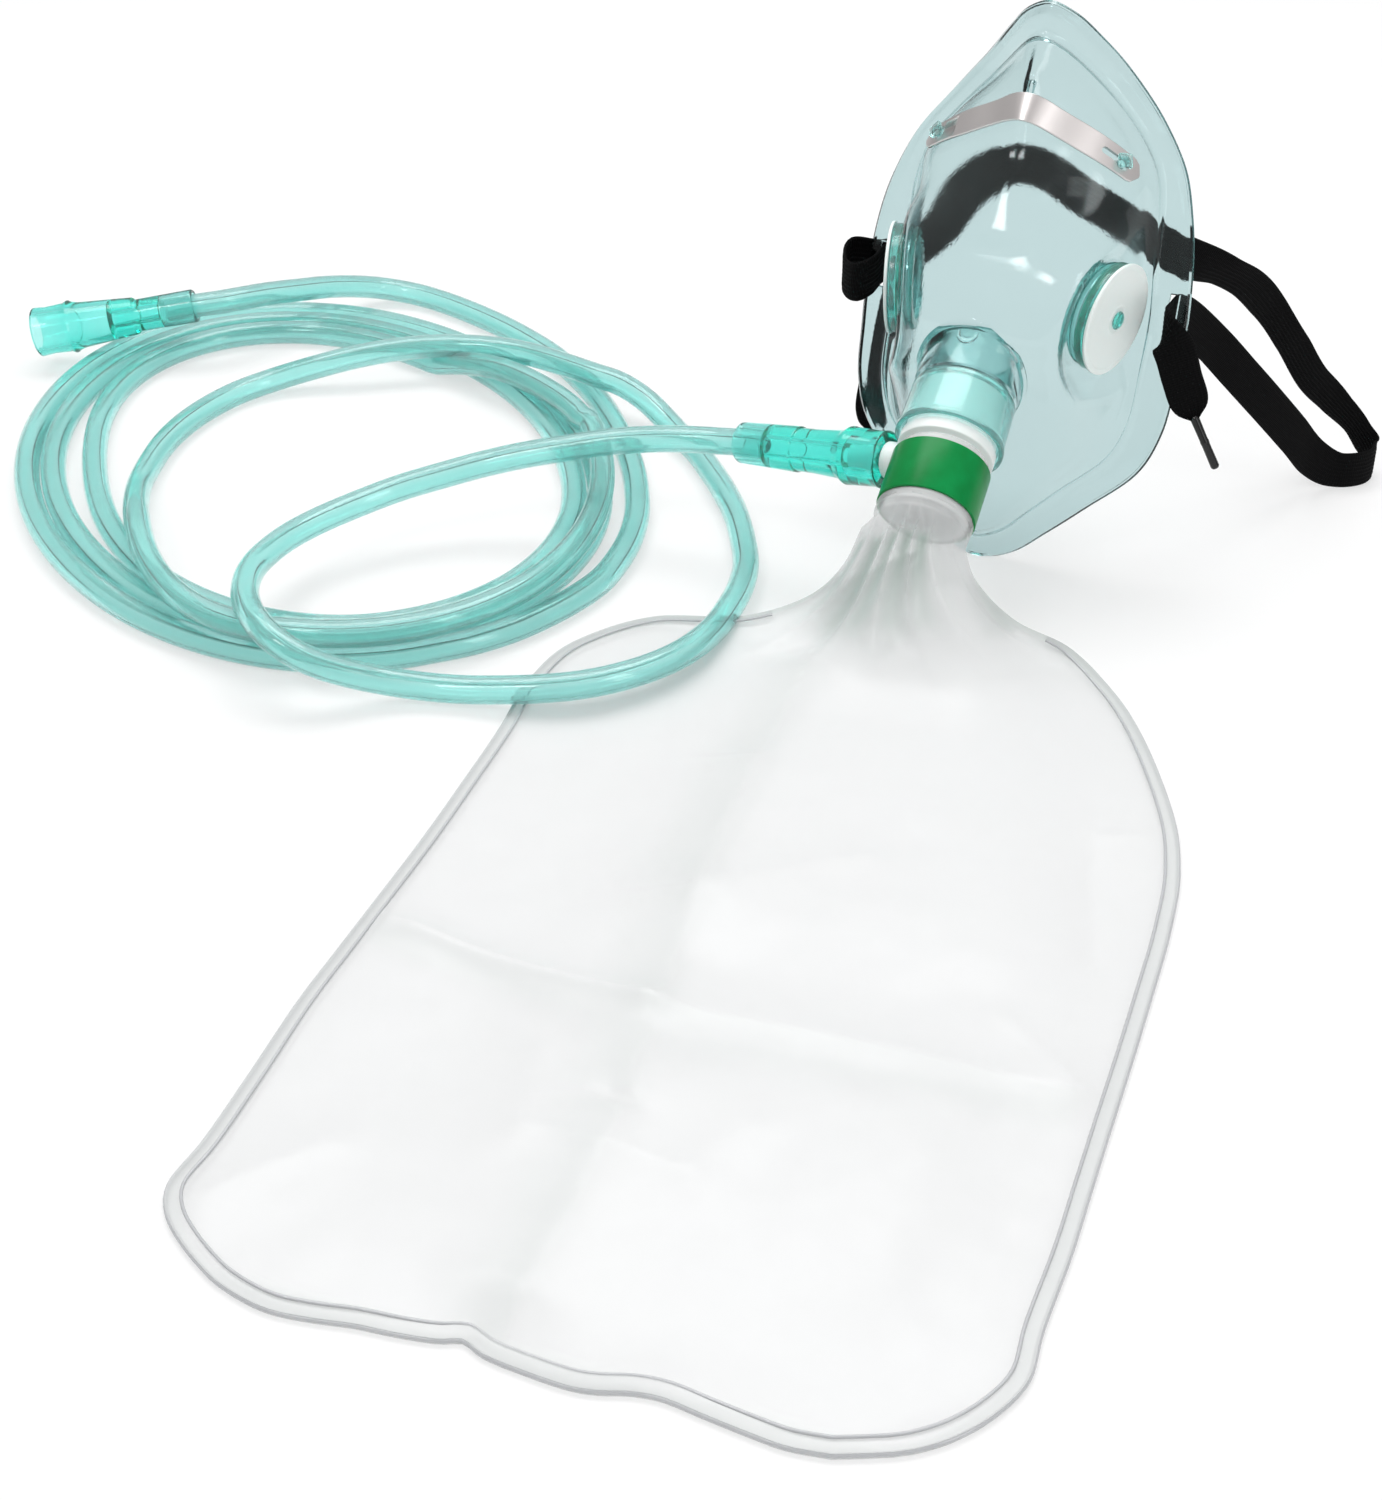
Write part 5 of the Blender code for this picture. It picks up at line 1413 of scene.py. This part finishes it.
def build_welds(settings, body, columns):
    """Two weld lines that follow the bag's edge from the neck round the foot."""
    tree, key = bead_tree(seam_film())
    left = [loop[0] for loop in body[WELD_FROM:]]
    right = [loop[columns] for loop in body[WELD_FROM:]]
    foot = [body[-1][j] for j in range(1, columns)]
    edge = left + foot + right[::-1]
    middle = sum(edge, Vector()) / len(edge)
    for number, inset in ((1, 0.1), (2, 2.9)):
        line = []
        for i, p in enumerate(edge):
            a = edge[max(i - 2, 0)]
            b = edge[min(i + 2, len(edge) - 1)]
            side = Vector((b.y - a.y, a.x - b.x, 0)).normalized()
            if side.dot(middle - p) < 0:
                side = -side
            line.append((*(p + side * inset).xy, p.z - min(0.38 * p.z, 0.6) + 0.34 * inset))
        line = spaced(line, 420)
        bead = wire_path("weld_line_%d" % number, line)
        run_tree(bead, tree, {key: settings.bead * (1.0 if number == 1 else 0.7)})
        dress(bead, "bag_film")


# tubing

def lane(inset, angle):
    """A place on the coil, this far inside its outer lane."""
    c = math.cos(math.radians(COIL_TURN))
    s = math.sin(math.radians(COIL_TURN))
    u = (COIL_A - inset) * math.cos(math.radians(angle))
    v = (COIL_B - inset) * math.sin(math.radians(angle))
    return (COIL_AT[0] + c * u - s * v, COIL_AT[1] + s * u + c * v)


def coil_points(pitch):
    """Three turns side by side: over the top into the inner lane, then outward turn by turn."""
    out = []
    angle = 239.0
    while angle < 1340.5:
        z = LANE_HEIGHT
        if angle <= 350:
            inset = -0.55
            z = LANE_OVER_HEIGHT
        elif angle < 392:
            inset = 2 * pitch * smooth(345, 392, angle)
            over = max(inset - pitch, 0.0)
            z = max(z, LANE_HEIGHT + math.sqrt(max(pitch ** 2 - over ** 2, 0.0)) * 1.02)
        elif angle < 625:
            inset = 2 * pitch + 4.0 * math.exp(-((angle - 523) / 32) ** 2)
        elif angle < 695:
            inset = 2 * pitch - pitch * smooth(625, 695, angle)
        elif angle < 985:
            inset = pitch
        elif angle < 1055:
            inset = pitch - pitch * smooth(985, 1055, angle)
        else:
            inset = 0.0
        out.append((*lane(inset, angle), z))
        angle += 5.5 if not 345 < angle < 395 else 2.0
    return out


def tube_line(pitch):
    """The hose's path from socket to socket, and the point where it leaves the cuff."""
    root = WORLD.inverted() @ STUB
    start = root @ Vector((0, 0, (CONNECTOR_TO - MASK_SOCKET_DEPTH) * MM)) / MM
    outside = root @ Vector((0, 0, CONNECTOR_TO * MM)) / MM
    mouth = Vector(SUPPLY_MOUTH)
    socket = Vector(SUPPLY_SOCKET)
    entry = socket - (socket - mouth).normalized() * SUPPLY_SOCKET_DEPTH
    points = ([tuple(start), tuple(outside)] + list(MASK_SIDE) + coil_points(pitch)
              + list(LEAVE_COIL) + [tuple(socket), tuple(entry)])
    return through(points, 8), outside


def hose_tree(mat):
    """Nodes that sweep a round wall with a star bore along a path."""
    tree, keys = new_tree("star_bore_hose", ("Outside Radius", "Float"), ("Bore Radius", "Float"),
                          ("Ridge Radius", "Float"), ("Lobes", "Int"))
    add = tree.nodes.new
    start = add("NodeGroupInput")
    curve = add("GeometryNodeMeshToCurve")
    circle = add("GeometryNodeCurvePrimitiveCircle")
    circle.inputs["Resolution"].default_value = 20
    star = add("GeometryNodeCurveStar")
    wall = add("GeometryNodeCurveToMesh")
    wall.inputs["Fill Caps"].default_value = True
    hollow = add("GeometryNodeCurveToMesh")
    hollow.inputs["Fill Caps"].default_value = True
    trim = add("GeometryNodeTrimCurve")
    trim.mode = "LENGTH"
    trim_start, trim_end = [s for s in trim.inputs if s.name in ("Start", "End") and s.enabled]
    trim_start.default_value = BORE_INSET
    flip = add("GeometryNodeFlipFaces")
    both = add("GeometryNodeJoinGeometry")
    span = add("GeometryNodeCurveLength")
    less = add("ShaderNodeMath")
    less.operation = "SUBTRACT"
    less.inputs[1].default_value = BORE_INSET
    wire(tree, (start, "Geometry", curve, "Mesh"), (start, "Outside Radius", circle, "Radius"),
         (start, "Lobes", star, "Points"), (start, "Bore Radius", star, "Outer Radius"),
         (start, "Ridge Radius", star, "Inner Radius"), (curve, "Curve", wall, "Curve"),
         (circle, "Curve", wall, "Profile Curve"), (curve, "Curve", span, "Curve"),
         (span, "Length", less, 0), (curve, "Curve", trim, "Curve"))
    tree.links.new(less.outputs[0], trim_end)
    wire(tree, (trim, "Curve", hollow, "Curve"), (star, "Curve", hollow, "Profile Curve"),
         (hollow, "Mesh", flip, "Mesh"), (flip, "Mesh", both, "Geometry"),
         (wall, "Mesh", both, "Geometry"))
    sweep_out(tree, both, "Geometry", mat)
    return tree, keys


def build_tubing(settings, teal_tint):
    mat = teal_clear("tubing", teal_tint, 140.0, 0.08)
    line, outside = tube_line(settings.pitch / MM)
    total = run_of(line)
    points = spaced(line, int(total / 3.0))
    hose = wire_path("oxygen_hose", points)
    tree, (r, bore, ridge, lobes) = hose_tree(mat)
    run_tree(hose, tree, {r: settings.outside / 2, bore: settings.bore / 2 * 1.35,
                          ridge: settings.bore / 2 * 0.65, lobes: settings.lobes})
    dress(hose, "tubing", "tube_mask_side", "tube_coil", "tube_supply_side")


# strap

def build_strap(settings):
    rows = [(x, y, z) + tuple(hint) + (share,) for x, y, z, hint, share in STRAP]
    count = 460
    line = spaced(through(rows), count)
    ribs = settings.ribs
    steps = ribs * 4
    loops = []
    for i, row in enumerate(line):
        t = (Vector(line[min(i + 1, count - 1)][:3]) - Vector(line[max(i - 1, 0)][:3])).normalized()
        w = Vector(row[3:6])
        w = (w - t * w.dot(t)).normalized()
        n = t.cross(w).normalized()
        share = min(row[6], 1.0)
        wide = settings.width / MM * share
        thick = settings.thickness / MM * (1.0 + 0.5 * (1.0 - share))
        upper = []
        under = []
        for k in range(steps + 1):
            x = -0.5 + k / steps
            rib = abs(math.cos(math.pi * ribs * (x + 0.5)))
            h = thick / 2 * (0.62 + 0.38 * (1.0 - rib)) * math.sqrt(max(1.0 - (2 * x) ** 8, 0.05))
            c = Vector(row[:3]) + w * (x * wide)
            upper.append(c + n * h)
            under.append(c - n * h)
        loops.append(upper + under[::-1])
    verts, faces = rings(loops)
    strap = solid("elastic_strap", verts, faces, WORLD, elastic(), 60.0)
    layer = strap.data.uv_layers.new(name="UVMap")
    n = len(loops[0])
    total = run_of(line) * MM
    for loop in strap.data.loops:
        i, k = divmod(loop.vertex_index, n)
        layer.data[loop.index].uv = (k / n, i / count * total * 10)
    dress(strap, "elastic_black", "head_strap")
    tip_mat = aglet_plastic()
    for word, (p, q) in STRAP_TIPS.items():
        span = Vector(q) - Vector(p)
        end = span.length
        profile = [(0, end), (0.75, end), (1.05, end - 0.5), (1.0, end * 0.55), (1.1, end * 0.5),
                   (1.0, end * 0.45), (1.1, 0.5), (0.8, 0.0), (0, 0)]
        tip = turned("strap_tip_end_" + word, profile, WORLD @ pose(p, span, (1, 0, 0.1)),
                     tip_mat, 32, False, 0.15)
        dress(tip, "aglet_black", "strap_tip_" + word)


# stage

def sum_or_product(tree, operation, a, b, clamp=False):
    """One sum or product, where a is a socket and b is a socket or a number."""
    node = tree.nodes.new("ShaderNodeMath")
    node.operation = operation
    node.use_clamp = clamp
    tree.links.new(a, node.inputs[0])
    if isinstance(b, float):
        node.inputs[1].default_value = b
    else:
        tree.links.new(b, node.inputs[1])
    return node.outputs[0]


def mix_out(tree, share, a, b, end):
    """The output shows the first shader, and the second by its share."""
    mix = tree.nodes.new("ShaderNodeMixShader")
    for socket, value in zip(mix.inputs, (share, a, b)):
        tree.links.new(value, socket)
    tree.links.new(mix.outputs["Shader"], tree.nodes[end].inputs["Surface"])


def build_floor():
    """White paper that takes shadows and glows where it is seen, also through the pieces."""
    mesh = bpy.data.meshes.new("floor")
    mesh.from_pydata([(-6, -6, 0), (6, -6, 0), (6, 6, 0), (-6, 6, 0)], [], [(0, 1, 2, 3)])
    floor = put("floor", mesh)
    mat, node = shader("floor_paper", (0.93, 0.93, 0.93), 0.7, Specular_IOR_Level=0.1)
    tree = mat.node_tree
    glow = tree.nodes.new("ShaderNodeEmission")
    glow.inputs["Color"].default_value = (1.0, 1.0, 1.0, 1.0)
    ray = tree.nodes.new("ShaderNodeLightPath").outputs
    seen = sum_or_product(tree, "ADD", ray["Is Camera Ray"], ray["Is Transmission Ray"])
    seen = sum_or_product(tree, "ADD", seen, ray["Is Glossy Ray"], True)
    share = sum_or_product(tree, "MULTIPLY", seen, 0.6)
    mix_out(tree, share, node.outputs["BSDF"], glow.outputs["Emission"], "Material Output")
    mat.cycles.emission_sampling = "NONE"
    mesh.materials.append(mat)


def build_world(strength):
    """Room light that falls from above, and plain white where the background itself is seen."""
    world = bpy.data.worlds.new("studio")
    bpy.context.scene.world = world
    world.use_nodes = True
    tree = world.node_tree
    sky = tree.nodes["Background"]
    sky.inputs["Strength"].default_value = strength
    coords = tree.nodes.new("ShaderNodeTexCoord")
    split = tree.nodes.new("ShaderNodeSeparateXYZ")
    colours = tree.nodes.new("ShaderNodeValToRGB")
    low, high = colours.color_ramp.elements
    low.color = (0.10, 0.11, 0.11, 1.0)
    high.color = (1.0, 1.0, 1.0, 1.0)
    high.position = 0.72
    tree.links.new(coords.outputs["Generated"], split.inputs["Vector"])
    tree.links.new(split.outputs["Z"], colours.inputs["Fac"])
    tree.links.new(colours.outputs["Color"], sky.inputs["Color"])
    white = tree.nodes.new("ShaderNodeBackground")
    ray = tree.nodes.new("ShaderNodeLightPath").outputs
    glints = sum_or_product(tree, "MULTIPLY", ray["Is Glossy Ray"], 0.3)
    seen = sum_or_product(tree, "ADD", glints, ray["Is Transmission Ray"])
    seen = sum_or_product(tree, "ADD", ray["Is Camera Ray"], seen, True)
    mix_out(tree, seen, sky.outputs["Background"], white.outputs["Background"], "World Output")


def build_lamps(settings):
    for name, power, size_x, size_y, at, aim in (
            ("overhead", settings.key, 0.9, 0.5, (-0.25, 0.35, 1.0), (-0.05, 0.0, 0.05)),
            ("side", settings.fill, 0.25, 0.9, (1.0, -0.3, 0.55), (0.0, 0.05, 0.05)),
            ("front", settings.front, 0.40, 0.20, (-0.24, -0.82, 1.05), (0.0, 0.08, 0.09))):
        lamp = bpy.data.lights.new(name, "AREA")
        lamp.shape = "RECTANGLE"
        lamp.size = size_x
        lamp.size_y = size_y
        lamp.energy = power
        obj = put(name, lamp)
        obj.location = at
        obj.rotation_euler = (Vector(aim) - Vector(at)).to_track_quat("-Z", "Y").to_euler()


def build_camera(lens):
    data = bpy.data.cameras.new("camera")
    data.lens = lens
    data.sensor_width = 36.0
    camera = put("camera", data)
    camera.location = WORLD @ (Vector(CAMERA_AT) * MM)
    camera.rotation_euler = (math.radians(CAMERA_TILT), 0.0, math.radians(CAMERA_TURN))
    bpy.context.scene.camera = camera


def build_stage(settings):
    bpy.context.scene.view_settings.view_transform = "Standard"
    build_floor()
    build_world(settings.sky)
    build_lamps(settings)
    build_camera(settings.lens)


# operators

KEPT = {}


class MASK_OT_cup(bpy.types.Operator):
    """Builds the clear shell with its spigot, slots and valve holes"""
    bl_idname = "mask.cup"
    bl_label = "Mask cup"

    def execute(self, context):
        KEPT["grid"] = build_mask(context.scene.mask_cup)
        return {"FINISHED"}


class MASK_OT_valves(bpy.types.Operator):
    """Builds both exhalation valves and their discs"""
    bl_idname = "mask.valves"
    bl_label = "Valves"

    def execute(self, context):
        build_valves(context.scene.mask_valves, context.scene.mask_port.teal)
        return {"FINISHED"}


class MASK_OT_clip(bpy.types.Operator):
    """Builds the nose clip and its two pegs"""
    bl_idname = "mask.clip"
    bl_label = "Nose clip"

    def execute(self, context):
        build_clip(context.scene.mask_clip, KEPT["grid"], context.scene.mask_port.teal)
        return {"FINISHED"}


class MASK_OT_port(bpy.types.Operator):
    """Builds the collar, adapter, band and both tube connectors"""
    bl_idname = "mask.port"
    bl_label = "Port and connectors"

    def execute(self, context):
        KEPT["supply"] = build_port(context.scene.mask_port)
        return {"FINISHED"}


class MASK_OT_bag(bpy.types.Operator):
    """Builds the film bag with its folds and weld lines"""
    bl_idname = "mask.bag"
    bl_label = "Reservoir bag"

    def execute(self, context):
        build_bag(context.scene.mask_bag)
        return {"FINISHED"}


class MASK_OT_tubing(bpy.types.Operator):
    """Lays the tubing from the mask through its coil to the supply connector"""
    bl_idname = "mask.tubing"
    bl_label = "Tubing"

    def execute(self, context):
        build_tubing(context.scene.mask_tubing, context.scene.mask_port.teal)
        return {"FINISHED"}


class MASK_OT_strap(bpy.types.Operator):
    """Builds the ribbed elastic and its crimped tips"""
    bl_idname = "mask.strap"
    bl_label = "Head strap"

    def execute(self, context):
        build_strap(context.scene.mask_strap)
        return {"FINISHED"}


class MASK_OT_stage(bpy.types.Operator):
    """Sets up the floor, light and camera"""
    bl_idname = "mask.stage"
    bl_label = "Stage"

    def execute(self, context):
        build_stage(context.scene.mask_stage)
        return {"FINISHED"}


class MASK_PT_panel(bpy.types.Panel):
    bl_label = "Oxygen face mask"
    bl_space_type = "VIEW_3D"
    bl_region_type = "UI"
    bl_category = "Mask"

    def draw(self, context):
        for kind in OPERATORS:
            self.layout.operator(kind.bl_idname)
        for name in GROUPS:
            group = getattr(context.scene, name)
            box = self.layout.box()
            for key in group.bl_rna.properties.keys():
                if key not in ("rna_type", "name"):
                    box.prop(group, key)


GROUPS = {
    "mask_cup": MaskSettings, "mask_valves": ValveSettings, "mask_clip": ClipSettings,
    "mask_port": PortSettings, "mask_bag": BagSettings, "mask_tubing": TubingSettings,
    "mask_strap": StrapSettings, "mask_stage": StageSettings,
}
OPERATORS = (MASK_OT_cup, MASK_OT_valves, MASK_OT_clip, MASK_OT_port, MASK_OT_bag,
             MASK_OT_tubing, MASK_OT_strap, MASK_OT_stage)


def register():
    for name, group in GROUPS.items():
        bpy.utils.register_class(group)
        setattr(bpy.types.Scene, name, PointerProperty(type=group))
    for kind in OPERATORS + (MASK_PT_panel,):
        bpy.utils.register_class(kind)


def unregister():
    for kind in (MASK_PT_panel,) + OPERATORS[::-1]:
        bpy.utils.unregister_class(kind)
    for name, group in reversed(GROUPS.items()):
        delattr(bpy.types.Scene, name)
        bpy.utils.unregister_class(group)


def main():
    register()
    for call in (bpy.ops.mask.cup, bpy.ops.mask.valves, bpy.ops.mask.clip, bpy.ops.mask.port,
                 bpy.ops.mask.bag, bpy.ops.mask.tubing, bpy.ops.mask.strap, bpy.ops.mask.stage):
        call()


if __name__ == "__main__":
    main()
